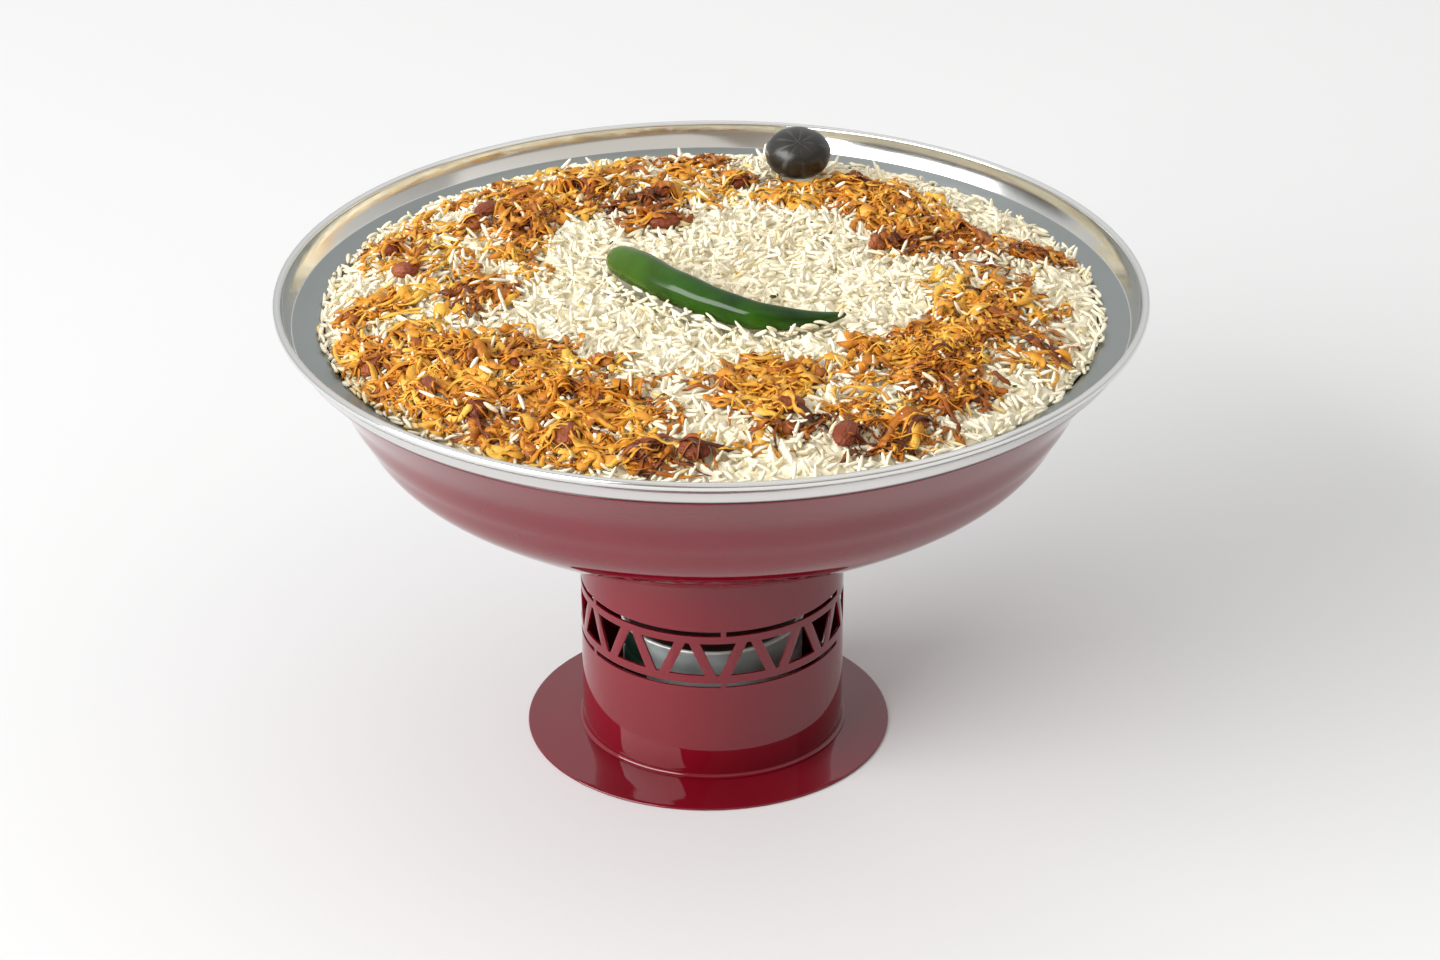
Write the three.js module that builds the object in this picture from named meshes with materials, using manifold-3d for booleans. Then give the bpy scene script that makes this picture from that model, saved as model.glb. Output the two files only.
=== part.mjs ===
// A platter of peshawari rice: a domed bed of long-grain rice ringed with fried onion and raisins, with a
// green chilli and a dried black lime on top, in an aluminium dish that hangs in a footed warming bowl.
// The stem of the bowl is pierced and holds a fuel tin.
// Millimetres, +Z up, origin at the middle of the underside. The photographed front faces -Y.

import * as THREE from 'three';
import { mergeVertices } from 'three/addons/utils/BufferGeometryUtils.js';
import Module from 'manifold-3d';

const wasm = await Module();
wasm.setup();

// ---------------------------------------------------------------- driving dimensions
const GAP = 0.3;                 // clearance between pieces that touch
const SHEET = 1.2;               // wall of the pressed metal parts
const ROUND = 40;                // sides of the large turned parts

const BASE = { radius: 87, rimThickness: 1.2, middleThickness: 3.4, bevel: 0.6, shoulder: 3, shiftX: -2.1 };
const STEM = { radius: 62.5, top: 107, sides: 36 };
const STEM_BOTTOM = BASE.middleThickness + GAP;

// The pierced band: a zigzag of struts between two rings of slots, interrupted by a plain seam at the back.
const ZIGZAG = { count: 13, pitch: 26.6, first: 2.4, low: 58.2, high: 75.1, wide: 16.8, narrow: 1.8 };
const SLOTS = { bridgePitch: 66.5, bridge: 2.3, endAngle: 171, lower: [51.8, 54.1], upper: [78.8, 81.4] };
const TABS = { angles: [-145, -83, -35, 35, 83, 145], width: 6, height: 1.6, proud: 0.8 };

const TIN = { radius: 43, rim: 44, rimHeight: 3, lip: 3, top: 60, recess: 3.5, sides: 28 };

// The bowl's outline from the stem to its top edge, as radius and height.
const BOWL_BOTTOM = STEM.top + GAP;
const BOWL_OUTLINE = [[62.5, 107.5], [108, 129.3], [151.5, 157.5], [167, 179], [176, 196], [190.3, 214.8]];

// The dish: a deep body under a flat ledge, a flared band above it, and a rolled bead round the top.
const RIM_RADIUS = 200;
const RIM_TOP = 229.3;
const BEAD = 1.95;
const BEAD_ANGLES = [190, 130, 70, 10, -60];
const LEDGE = { inner: 180.5, outer: 191.2, innerZ: 216.6, outerZ: 217.4 };
const RIDGE = [192.3, 218.4];
const FLARE = [194.4, 222.2];
const DISH_BODY = [[0, 134], [92, 134], [134, 150], [157, 177], [169.5, 200], [177.3, 213.6]];

// The rice: nearly flat in the middle, rounding down to its edge against the dish.
const RICE = {
  radius: 176.4, edge: 217, edgeDepth: 1.4, crown: 13, power: 6, bump: 1.1, detail: 10, topShare: 0.84,
};
const RICE_CLEARANCE = 4 * GAP;   // from the underside of the rice to the dish
const BUMP_MARGIN = { edge: 6, onion: 12, topping: 9 };
const GRAIN = { length: 9, radius: 0.95, lift: 0.9, rise: [-0.1, 0.35], sides: 5, count: 24 };
const GRAIN_MARGIN = { edge: 12, onion: 14, topping: 12 };

// The ring of fried onion: a lumpy mat with shreds on it.
const ONION = {
  inner: 92, outer: 161, lift: 1.1, edgeLift: 0.5, thickness: [2.4, 4.3], around: 40, across: 10,
};
const SHRED = {
  count: 22, length: [30, 50], width: 3, thickness: 1.6, lift: [2.4, 5.2], bend: 0.9, clearance: 6,
};

// The chilli's middle line as x, y and height above the rice, and its radius at shares of its length.
const CHILLI_PATH = [
  [-46, 13, 7.4], [-30, -9.4, 9.6], [-14, -28, 9.3], [11.9, -49, 8.2], [29.7, -54, 7], [46.2, -52, 5.4],
  [60.5, -43.4, 4],
];
const CHILLI_RADII = [
  [0, 2.4], [0.06, 6.6], [0.17, 9], [0.38, 8.4], [0.62, 7.2], [0.76, 6], [0.88, 4], [1, 1.3],
];
const CHILLI_STEPS = 14;
const CHILLI_SIDES = 10;
const LIME = { at: [42.4, 127], rests: [42.4, 121.6], radius: 16.2, halfHeight: 12.7, detail: 2 };

// Raisins that stand out, as x, y, long side, short side and the turn of the long side in degrees.
const RAISINS = [
  [-150, -75, 15, 11, 60], [-62, -148, 16, 12, 100], [-28, -160, 15, 10, 20], [-8, -162, 16, 10, -15],
  [57, -149, 17, 12, 75], [87, -138, 13, 10, 30], [33, -130, 15, 9, 10], [-141, 13, 14, 9, -20],
  [-124, -103, 15, 11, 80], [-101, -124, 14, 10, 120], [-106, 81, 15, 11, 35], [-22, 61, 17, 11, 10],
  [-22, 99, 15, 10, 60], [-57, 107, 15, 11, -30],
];
const RAISIN_HEIGHT = 7.5;
const RAISIN_WRINKLE = 0.16;
const SLOPE_STEP = 0.03;          // share of the way out over which the surface's tilt is taken
const HOLLOW_GROWTH = 1.36;       // a coarse ball this much larger clears the raisin by the usual gap

// ---------------------------------------------------------------- finishes
function finish(color, roughness, metalness = 0) {
  return new THREE.MeshStandardMaterial({ color, roughness, metalness });
}
const ENAMEL = finish('#8f1f33', 0.18);
const ALUMINIUM = finish('#b9bdbc', 0.32, 1);
const TINPLATE = finish('#5c6664', 0.4, 1);
const RICE_WHITE = finish('#ece5cf', 0.6);
const ONION_GOLD = finish('#c47a2c', 0.45);
const RAISIN_RED = finish('#7a2f1e', 0.4);
const CHILLI_GREEN = finish('#2f7d24', 0.25);
const LIME_BLACK = finish('#23211f', 0.4);

// ---------------------------------------------------------------- helpers
// A repeatable random number source.
function seeded(seed) {
  let state = seed >>> 0;
  return () => {
    state = (state + 0x6d2b79f5) >>> 0;
    let t = Math.imul(state ^ (state >>> 15), 1 | state);
    t = (t + Math.imul(t ^ (t >>> 7), 61 | t)) ^ t;
    return ((t ^ (t >>> 14)) >>> 0) / 4294967296;
  };
}

function between(random, low, high) {
  return low + (high - low) * random();
}

// Turn a closed geometry into a solid, without its collapsed faces.
function toSolid(geometry) {
  const bare = geometry.clone();
  bare.deleteAttribute('normal');
  bare.deleteAttribute('uv');
  const merged = mergeVertices(bare, 1e-4);
  const corners = merged.index.array;
  const kept = [];
  for (let i = 0; i < corners.length; i += 3) {
    const [a, b, c] = corners.slice(i, i + 3);
    if (a !== b && b !== c && c !== a) kept.push(a, b, c);
  }
  const build = (triangles) => new wasm.Manifold(new wasm.Mesh({
    numProp: 3,
    vertProperties: merged.attributes.position.array,
    triVerts: new Uint32Array(triangles),
  }));
  const solid = build(kept);
  if (solid.volume() >= 0) return solid;
  const turned = [];
  for (let i = 0; i < kept.length; i += 3) turned.push(kept[i], kept[i + 2], kept[i + 1]);
  return build(turned);
}

// The largest outward body of a solid: scraps and sealed hollows are left behind.
function largestBody(solid) {
  return solid.decompose().reduce((best, body) => (body.volume() > best.volume() ? body : best));
}

function toGeometry(solid) {
  const mesh = solid.getMesh();
  const geometry = new THREE.BufferGeometry();
  geometry.setAttribute('position', new THREE.BufferAttribute(mesh.vertProperties, 3));
  geometry.setIndex(new THREE.BufferAttribute(mesh.triVerts, 1));
  geometry.computeVertexNormals();
  return geometry;
}

function piece(name, geometry, material) {
  const mesh = new THREE.Mesh(geometry, material);
  mesh.name = name;
  return mesh;
}

// Revolve a profile of [radius, height] pairs about the vertical axis.
function turned(profile, sides = ROUND) {
  const points = profile.map(([radius, height]) => new THREE.Vector2(radius, height));
  return new THREE.LatheGeometry(points, sides).rotateX(Math.PI / 2);
}

function vectors2(points) {
  return points.map(([x, y]) => new THREE.Vector2(x, y));
}

// Points along a smooth outline through the given corners.
function smoothOutline(corners, steps) {
  return new THREE.SplineCurve(vectors2(corners)).getSpacedPoints(steps).map((p) => [p.x, p.y]);
}

// The same outline moved sideways: a positive distance moves it to the left of its direction.
function offsetOutline(outline, distance) {
  return outline.map((point, i) => {
    const before = outline[Math.max(i - 1, 0)];
    const after = outline[Math.min(i + 1, outline.length - 1)];
    const length = Math.hypot(after[0] - before[0], after[1] - before[1]);
    const nx = -(after[1] - before[1]) / length;
    const ny = (after[0] - before[0]) / length;
    return [Math.max(point[0] + nx * distance, 0), point[1] + ny * distance];
  });
}

// Height of the bare rice surface at a place on the dish.
function riceHeight(x, y) {
  const share = Math.min(Math.hypot(x, y) / RICE.radius, 1);
  return RICE.edge + RICE.crown * (1 - share ** RICE.power);
}

// Move a point of the middle line of something that lies on the rice up to its height there.
function onRice([x, y], lift) {
  return new THREE.Vector3(x, y, riceHeight(x, y) + lift);
}

// ---------------------------------------------------------------- the stand
function baseDisc() {
  const edge = BASE.radius - BASE.bevel;
  const geometry = turned([
    [0, 0], [edge, 0], [BASE.radius, BASE.bevel], [edge, BASE.rimThickness],
    [STEM.radius + BASE.shoulder, BASE.middleThickness], [0, BASE.middleThickness],
  ]);
  const mesh = piece('base_disc', geometry, ENAMEL);
  mesh.position.x = BASE.shiftX;
  return mesh;
}

// A window cutter: a tall trapezium with its wide end at the top or the bottom, pointing to the front.
function windowCutter(angle, wideAtTop) {
  const top = (wideAtTop ? ZIGZAG.wide : ZIGZAG.narrow) / 2;
  const bottom = (wideAtTop ? ZIGZAG.narrow : ZIGZAG.wide) / 2;
  const shape = new THREE.Shape(vectors2([
    [-bottom, ZIGZAG.low], [bottom, ZIGZAG.low], [top, ZIGZAG.high], [-top, ZIGZAG.high],
  ]));
  const reach = 4 * SHEET;
  const cutter = new THREE.ExtrudeGeometry(shape, { depth: 2 * reach, bevelEnabled: false });
  cutter.rotateX(Math.PI / 2).translate(0, -(STEM.radius - reach), 0);
  return toSolid(cutter.rotateZ(THREE.MathUtils.degToRad(angle)));
}

// A slot cutter: a curved bar between two angles and two heights.
function slotCutter(from, to, [low, high]) {
  const start = THREE.MathUtils.degToRad(from - 90);
  const end = THREE.MathUtils.degToRad(to - 90);
  const shape = new THREE.Shape();
  shape.absarc(0, 0, STEM.radius + 2 * SHEET, start, end, false);
  shape.absarc(0, 0, STEM.radius - 3 * SHEET, end, start, true);
  const options = { depth: high - low, bevelEnabled: false, curveSegments: 3 };
  return toSolid(new THREE.ExtrudeGeometry(shape, options).translate(0, 0, low));
}

// The edges of the slots in one ring: from bridge to bridge, ending short of the seam at the back.
function slotSpans() {
  const bridges = [-2, -1, 0, 1, 2].map((i) => ZIGZAG.first + i * SLOTS.bridgePitch);
  const starts = [-SLOTS.endAngle, ...bridges.map((angle) => angle + SLOTS.bridge / 2)];
  const ends = [...bridges.map((angle) => angle - SLOTS.bridge / 2), SLOTS.endAngle];
  return starts.map((start, i) => [start, ends[i]]);
}

function stemTube() {
  const inner = STEM.radius - SHEET;
  let tube = toSolid(turned([
    [inner, STEM_BOTTOM], [STEM.radius, STEM_BOTTOM], [STEM.radius, STEM.top],
    [inner, STEM.top], [inner, STEM_BOTTOM],
  ], STEM.sides));
  const half = (ZIGZAG.count - 1) / 2;
  for (let i = -half; i <= half; i += 1) {
    const angle = ZIGZAG.first + i * ZIGZAG.pitch;
    tube = tube.subtract(windowCutter(angle, true));
    if (i < half) tube = tube.subtract(windowCutter(angle + ZIGZAG.pitch / 2, false));
  }
  for (const [from, to] of slotSpans()) {
    tube = tube.subtract(slotCutter(from, to, SLOTS.lower)).subtract(slotCutter(from, to, SLOTS.upper));
  }
  for (const angle of TABS.angles) {
    const tab = new THREE.BoxGeometry(TABS.width, 2 * TABS.proud, TABS.height)
      .translate(0, -STEM.radius, STEM.top - TABS.height / 2)
      .rotateZ(THREE.MathUtils.degToRad(angle));
    tube = tube.add(toSolid(tab));
  }
  return piece('stem_tube', toGeometry(largestBody(tube)), ENAMEL);
}

function outerBowl() {
  const outside = smoothOutline(BOWL_OUTLINE, 8);
  const inside = offsetOutline(outside, SHEET).reverse();
  const geometry = turned([
    [0, BOWL_BOTTOM], [STEM.radius - 1, BOWL_BOTTOM], ...outside, ...inside,
    [0, BOWL_BOTTOM + SHEET],
  ]);
  return piece('outer_bowl', geometry, ENAMEL);
}

function fuelTin() {
  const bottom = BASE.middleThickness + GAP;
  const mouth = TIN.rim - TIN.lip;
  const step = TIN.rim - TIN.radius;
  const geometry = turned([
    [0, bottom], [TIN.radius, bottom], [TIN.radius, TIN.top - TIN.rimHeight],
    [TIN.rim, TIN.top - TIN.rimHeight + step], [TIN.rim, TIN.top - step], [TIN.rim - step, TIN.top],
    [mouth, TIN.top], [mouth, TIN.top - TIN.recess], [0, TIN.top - TIN.recess],
  ], TIN.sides);
  return piece('fuel_tin', geometry, TINPLATE);
}

// ---------------------------------------------------------------- the dish
// The inner face of the dish's curved wall, from the edge of its floor up to the ledge.
function dishWall() {
  return smoothOutline(DISH_BODY.slice(1), 6);
}

// The inner face of the dish from the middle of its floor to the foot of the bead.
function dishInside() {
  return [
    DISH_BODY[0], ...dishWall(), [LEDGE.inner, LEDGE.innerZ], [LEDGE.outer, LEDGE.outerZ], RIDGE, FLARE,
  ];
}

function dish() {
  const inside = dishInside();
  const outside = offsetOutline(inside, -SHEET).reverse();
  const bead = BEAD_ANGLES.map((degrees) => {
    const angle = THREE.MathUtils.degToRad(degrees);
    return [
      RIM_RADIUS - BEAD + BEAD * Math.cos(angle),
      RIM_TOP - BEAD + BEAD * Math.sin(angle),
    ];
  });
  return piece('dish', turned([...inside, ...bead, ...outside].reverse()), ALUMINIUM);
}

// ---------------------------------------------------------------- toppings
function chilliRadius(share) {
  const next = Math.max(CHILLI_RADII.findIndex(([at]) => at >= share), 1);
  const [before, from] = CHILLI_RADII[next - 1];
  const [after, to] = CHILLI_RADII[next];
  return THREE.MathUtils.lerp(from, to, (share - before) / (after - before));
}

// The chilli is drawn as a tube with a radius of one and then swollen about its middle line.
function chilliSolid() {
  const path = new THREE.CatmullRomCurve3(CHILLI_PATH.map(([x, y, lift]) => onRice([x, y], lift)));
  const section = new THREE.Shape();
  section.absarc(0, 0, 1, 0, 2 * Math.PI, false);
  const options = { steps: CHILLI_STEPS, extrudePath: path, curveSegments: CHILLI_SIDES / 2 };
  const geometry = new THREE.ExtrudeGeometry(section, options);
  const positions = geometry.attributes.position;
  const centres = path.getSpacedPoints(CHILLI_STEPS);
  const point = new THREE.Vector3();
  for (let i = 0; i < positions.count; i += 1) {
    point.fromBufferAttribute(positions, i);
    const nearest = centres.reduce((best, centre, k) => (
      centre.distanceTo(point) < centres[best].distanceTo(point) ? k : best), 0);
    const radius = chilliRadius(nearest / CHILLI_STEPS);
    point.sub(centres[nearest]).multiplyScalar(radius).add(centres[nearest]);
    positions.setXYZ(i, point.x, point.y, point.z);
  }
  return toSolid(geometry);
}

function limeSolid(grow = 0) {
  const { at: [x, y], rests, radius, halfHeight, detail } = LIME;
  const ball = new THREE.IcosahedronGeometry(1, detail)
    .scale(radius + grow, radius + grow, halfHeight + grow)
    .translate(x, y, riceHeight(...rests) + GAP + halfHeight);
  return toSolid(ball);
}

// Lay a ball of radius one down on the rice as a raisin, tilted with the surface and swollen by grow.
function laidRaisin(ball, [x, y, long, short, turn], grow) {
  const [out, back] = [1 + SLOPE_STEP, 1 - SLOPE_STEP];
  const rise = riceHeight(x * out, y * out) - riceHeight(x * back, y * back);
  const tilt = Math.atan2(rise, 2 * SLOPE_STEP * Math.hypot(x, y));
  const outward = Math.atan2(y, x);
  return toSolid(ball.scale(long / 2 * grow, short / 2 * grow, RAISIN_HEIGHT / 2 * grow)
    .rotateZ(THREE.MathUtils.degToRad(turn) - outward)
    .rotateY(-tilt)
    .rotateZ(outward)
    .translate(x, y, riceHeight(x, y) + RAISIN_HEIGHT / 2 + 2 * GAP));
}

function raisinSolid(raisin, index) {
  const random = seeded(100 + index);
  const nut = new THREE.IcosahedronGeometry(1, 1);
  const merged = mergeVertices(nut.deleteAttribute('normal').deleteAttribute('uv'), 1e-4);
  const positions = merged.attributes.position;
  for (let i = 0; i < positions.count; i += 1) {
    const swell = 1 - RAISIN_WRINKLE * random();
    positions.setXYZ(i, positions.getX(i) * swell, positions.getY(i) * swell, positions.getZ(i) * swell);
  }
  return laidRaisin(merged, raisin, 1);
}

// The hollow that a raisin sits in: a coarse ball that stays clear of it all round.
function raisinHollow(raisin) {
  return laidRaisin(new THREE.IcosahedronGeometry(1, 0), raisin, HOLLOW_GROWTH);
}

// Whether a place on the rice is within the given margin of the chilli.
function nearChilli(x, y, margin) {
  const reach = CHILLI_RADII[2][1] + margin;
  return CHILLI_PATH.some(([fromX, fromY], i) => {
    const [toX, toY] = CHILLI_PATH[Math.min(i + 1, CHILLI_PATH.length - 1)];
    return [0, 0.5].some((t) => {
      const nearX = fromX + (toX - fromX) * t;
      const nearY = fromY + (toY - fromY) * t;
      return Math.hypot(x - nearX, y - nearY) < reach;
    });
  });
}

// Whether a place on the rice is within the given margin of the chilli, the lime or a raisin.
function nearTopping(x, y, margin) {
  const lime = Math.hypot(x - LIME.at[0], y - LIME.at[1]) < LIME.radius + margin;
  const raisin = RAISINS.some(([rx, ry, long]) => Math.hypot(x - rx, y - ry) < long / 2 + margin);
  return lime || raisin || nearChilli(x, y, margin);
}

// Inner and outer edge of the onion ring in one direction.
function onionEdges(angle) {
  const inner = ONION.inner + 5 * Math.sin(2 * angle + 0.6) + 4 * Math.sin(5 * angle + 1.1);
  const outer = ONION.outer + 6 * Math.cos(angle - 3.4) + 3 * Math.sin(6 * angle + 0.8);
  return [inner, outer];
}

function underOnion(x, y, margin) {
  const [inner, outer] = onionEdges(Math.atan2(y, x));
  const radius = Math.hypot(x, y);
  return radius > inner - margin && radius < outer + margin;
}

// ---------------------------------------------------------------- the rice
function riceBed() {
  const random = seeded(7);
  const ball = new THREE.IcosahedronGeometry(1, RICE.detail);
  const merged = mergeVertices(ball.deleteAttribute('normal').deleteAttribute('uv'), 1e-4);
  const positions = merged.attributes.position;
  const underside = new THREE.Path(vectors2([
    [RICE.radius, RICE.edge - RICE.edgeDepth], ...offsetOutline(dishWall(), RICE_CLEARANCE).reverse(),
    [0, DISH_BODY[0][1] + RICE_CLEARANCE],
  ]));
  for (let i = 0; i < positions.count; i += 1) {
    const height = positions.getZ(i);
    const angle = Math.atan2(positions.getY(i), positions.getX(i));
    const bump = RICE.bump * (2 * random() - 1);
    const share = (1 - height) / 2;
    if (share <= RICE.topShare) {
      const radius = RICE.radius * Math.sqrt(share / RICE.topShare);
      const x = radius * Math.cos(angle);
      const y = radius * Math.sin(angle);
      const inside = radius < RICE.radius - BUMP_MARGIN.edge;
      const bare = inside && !underOnion(x, y, BUMP_MARGIN.onion) && !nearTopping(x, y, BUMP_MARGIN.topping);
      positions.setXYZ(i, x, y, riceHeight(x, y) + (bare ? bump : 0));
    } else {
      const down = Math.sqrt((share - RICE.topShare) / (1 - RICE.topShare));
      const at = underside.getPointAt(down);
      positions.setXYZ(i, at.x * Math.cos(angle), at.x * Math.sin(angle), at.y);
    }
  }
  let bed = toSolid(merged);
  let placed = 0;
  while (placed < GRAIN.count) {
    const radius = (RICE.radius - GRAIN_MARGIN.edge) * Math.sqrt(random());
    const angle = 2 * Math.PI * random();
    const x = radius * Math.cos(angle);
    const y = radius * Math.sin(angle);
    const turn = 2 * Math.PI * random();
    const rise = between(random, ...GRAIN.rise);
    if (underOnion(x, y, GRAIN_MARGIN.onion) || nearTopping(x, y, GRAIN_MARGIN.topping)) continue;
    const half = GRAIN.length / 2;
    const outline = [[0, -half], [GRAIN.radius, -half / 2], [GRAIN.radius, half / 2], [0, half]];
    const grain = turned(outline, GRAIN.sides)
      .rotateY(Math.PI / 2 - rise)
      .rotateZ(turn)
      .translate(x, y, riceHeight(x, y) + GRAIN.lift);
    bed = bed.add(toSolid(grain));
    placed += 1;
  }
  return piece('rice_bed', toGeometry(largestBody(bed)), RICE_WHITE);
}

// ---------------------------------------------------------------- the onion
// The mat: a ring whose underside follows the rice and whose top is lumpy.
function onionMat(random) {
  const { around, across } = ONION;
  const ring = new THREE.TorusGeometry(2, 1, across, around);
  const merged = mergeVertices(ring.deleteAttribute('normal').deleteAttribute('uv'), 1e-4);
  const positions = merged.attributes.position;
  const half = across / 2;
  for (let i = 0; i < positions.count; i += 1) {
    const x = positions.getX(i);
    const y = positions.getY(i);
    const angle = Math.atan2(y, x);
    const section = Math.atan2(positions.getZ(i), Math.hypot(x, y) - 2);
    const step = Math.round((section / Math.PI) * half);
    const share = (half - 2 * Math.abs(step)) / half;
    const [inner, outer] = onionEdges(angle);
    const radius = (inner + outer) / 2 + ((outer - inner) / 2) * share;
    const lump = between(random, ...ONION.thickness);
    const onTop = step > 0 && step < half;
    const atEdge = Math.abs(share) === 1;
    const lift = ONION.lift + (onTop ? lump : 0) + (atEdge ? ONION.edgeLift : 0);
    const px = radius * Math.cos(angle);
    const py = radius * Math.sin(angle);
    positions.setXYZ(i, px, py, riceHeight(px, py) + lift);
  }
  return toSolid(merged);
}

// One bent shred that lies on the mat or reaches over its edge, or null where it would cross the chilli.
function onionShred(random) {
  const angle = 2 * Math.PI * random();
  const [inner, outer] = onionEdges(angle);
  const radius = between(random, inner + 4, outer - 6);
  const heading = 2 * Math.PI * random();
  const length = between(random, ...SHRED.length);
  const bend = between(random, -SHRED.bend, SHRED.bend);
  const points = [-0.5, -0.17, 0.17, 0.5].map((t) => {
    const along = heading + bend * t;
    const x = radius * Math.cos(angle) + length * t * Math.cos(along);
    const y = radius * Math.sin(angle) + length * t * Math.sin(along);
    const far = Math.hypot(x, y) / (RICE.radius - 4);
    const pull = far > 1 ? 1 / far : 1;
    return onRice([x * pull, y * pull], between(random, ...SHRED.lift));
  });
  if (points.some(({ x, y }) => nearChilli(x, y, SHRED.clearance))) return null;
  const w = SHRED.width / 2;
  const t = SHRED.thickness / 2;
  const section = new THREE.Shape(vectors2([[-t, -w], [t, -w], [t, w], [-t, w]]));
  const options = { steps: 4, extrudePath: new THREE.CatmullRomCurve3(points) };
  return toSolid(new THREE.ExtrudeGeometry(section, options));
}

function friedOnions() {
  const random = seeded(21);
  let onions = onionMat(random);
  for (let i = 0; i < SHRED.count; i += 1) {
    const shred = onionShred(random);
    if (shred) onions = onions.add(shred);
  }
  for (const raisin of RAISINS) onions = onions.subtract(raisinHollow(raisin));
  onions = onions.subtract(limeSolid(2 * GAP));
  return piece('fried_onions', toGeometry(largestBody(onions)), ONION_GOLD);
}

// ---------------------------------------------------------------- the whole platter
const platter = new THREE.Group();
platter.add(baseDisc(), stemTube(), outerBowl(), fuelTin(), dish(), riceBed(), friedOnions());
platter.add(piece('green_chilli', toGeometry(chilliSolid()), CHILLI_GREEN));
platter.add(piece('black_lime', toGeometry(limeSolid()), LIME_BLACK));
RAISINS.forEach((raisin, i) => {
  const name = `raisin_${String(i + 1).padStart(2, '0')}`;
  platter.add(piece(name, toGeometry(raisinSolid(raisin, i)), RAISIN_RED));
});

export default platter;
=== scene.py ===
"""A dish of rice with fried onion, raisins, a green chilli and a dried lime, on a pierced warming stand.

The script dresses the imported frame. It is in metres and +Z is up; the sizes below are written in millimetres,
as on a drawing, and the photographed front faces -Y. The metal parts are turned from their profiles, the
stem is pierced with cutters, and the food is laid grain by grain on a height map of the heap.
"""

import logging
import math
from collections.abc import Callable, Iterator, Sequence
from dataclasses import dataclass, field
from enum import Enum
from typing import NamedTuple

import bpy
import numpy as np
from mathutils import Matrix, Vector


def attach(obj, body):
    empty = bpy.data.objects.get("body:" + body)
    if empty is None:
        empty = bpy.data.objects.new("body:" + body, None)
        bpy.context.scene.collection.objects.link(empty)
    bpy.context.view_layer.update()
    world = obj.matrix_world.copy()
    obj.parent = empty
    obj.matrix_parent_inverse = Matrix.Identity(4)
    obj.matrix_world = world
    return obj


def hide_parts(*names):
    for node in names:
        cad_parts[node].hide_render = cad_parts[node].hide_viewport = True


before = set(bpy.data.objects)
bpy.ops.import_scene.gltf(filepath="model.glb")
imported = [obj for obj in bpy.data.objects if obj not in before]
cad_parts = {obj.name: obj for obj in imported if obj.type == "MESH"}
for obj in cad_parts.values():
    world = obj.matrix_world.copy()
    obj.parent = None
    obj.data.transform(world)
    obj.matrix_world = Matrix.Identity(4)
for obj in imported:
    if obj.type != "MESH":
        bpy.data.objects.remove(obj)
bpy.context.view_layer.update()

LOG = logging.getLogger("platter")
MM = 0.001
MERGED = 0.002
BODY = "root"

Point2 = tuple[float, float]
Point3 = tuple[float, float, float]
Colour = tuple[float, float, float]


# ---------------------------------------------------------------------------------------------- shared sizes
@dataclass(frozen=True)
class Heap:
    """The form of the heap of rice, nearly flat in the middle and rounding down to its edge.

    Attributes:
        radius: Radius of the edge of the rice.
        edge: Height of the edge.
        crown: Height of the middle above the edge.
        power: How flat the middle is.
    """

    radius: float = 176.4
    edge: float = 217.0
    crown: float = 13.0
    power: float = 6.0

    def height(self, x: np.ndarray | float, y: np.ndarray | float) -> np.ndarray:
        """Return the height of the bare surface at a place."""
        share = np.minimum(np.hypot(x, y) / self.radius, 1.0)
        return self.edge + self.crown * (1.0 - share**self.power)


HEAP = Heap()
DISH_WALL: tuple[Point2, ...] = ((92, 134), (134, 150), (157, 177), (169.5, 200), (177.3, 213.6))
DISH_EDGE: tuple[Point2, ...] = (
    (175.6, 211.0), (177.3, 213.6), (178.4, 215.6), (180.5, 216.7), (191.2, 217.5)
)


# ---------------------------------------------------------------------------------------------- mesh helpers
def deselect() -> None:
    """Deselect every object."""
    if bpy.context.mode != "OBJECT":
        bpy.ops.object.mode_set(mode="OBJECT")
    bpy.ops.object.select_all(action="DESELECT")


def make_active(piece: bpy.types.Object) -> None:
    """Select one object alone and make it the active one."""
    deselect()
    piece.select_set(True)
    bpy.context.view_layer.objects.active = piece


def settle(piece: bpy.types.Object) -> None:
    """Apply a piece's place, turn and scale to its mesh."""
    make_active(piece)
    bpy.ops.object.transform_apply(location=True, rotation=True, scale=True)


def new_primitive(name: str, add: Callable[..., object], **options: object) -> bpy.types.Object:
    """Add a primitive with everything else deselected.

    Args:
        name: Name of the new object.
        add: The operator that adds it.
        **options: What the operator is given.

    Returns:
        The new object.
    """
    deselect()
    add(**options)
    piece = bpy.context.active_object
    piece.name = name
    piece.data.name = name
    return piece


def joined(name: str, pieces: Sequence[bpy.types.Object]) -> bpy.types.Object:
    """Join pieces into one object.

    Args:
        name: Name of the joined object.
        pieces: The pieces, of which the first takes up the others.

    Returns:
        The joined object.
    """
    deselect()
    for piece in pieces:
        piece.select_set(True)
    bpy.context.view_layer.objects.active = pieces[0]
    bpy.ops.object.join()
    pieces[0].name = name
    return pieces[0]


def apply_modifier(piece: bpy.types.Object, kind: str, **settings: object) -> None:
    """Add a modifier to a piece and apply it.

    Args:
        piece: The piece.
        kind: Blender's name for the modifier.
        **settings: The modifier's settings.
    """
    make_active(piece)
    modifier = piece.modifiers.new(kind.title(), kind)
    for key, value in settings.items():
        setattr(modifier, key, value)
    bpy.ops.object.modifier_apply(modifier=modifier.name)


def smooth(piece: bpy.types.Object, degrees: float) -> None:
    """Shade a piece smooth, apart from edges sharper than the given angle."""
    make_active(piece)
    bpy.ops.object.shade_smooth_by_angle(angle=math.radians(degrees))


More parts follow.
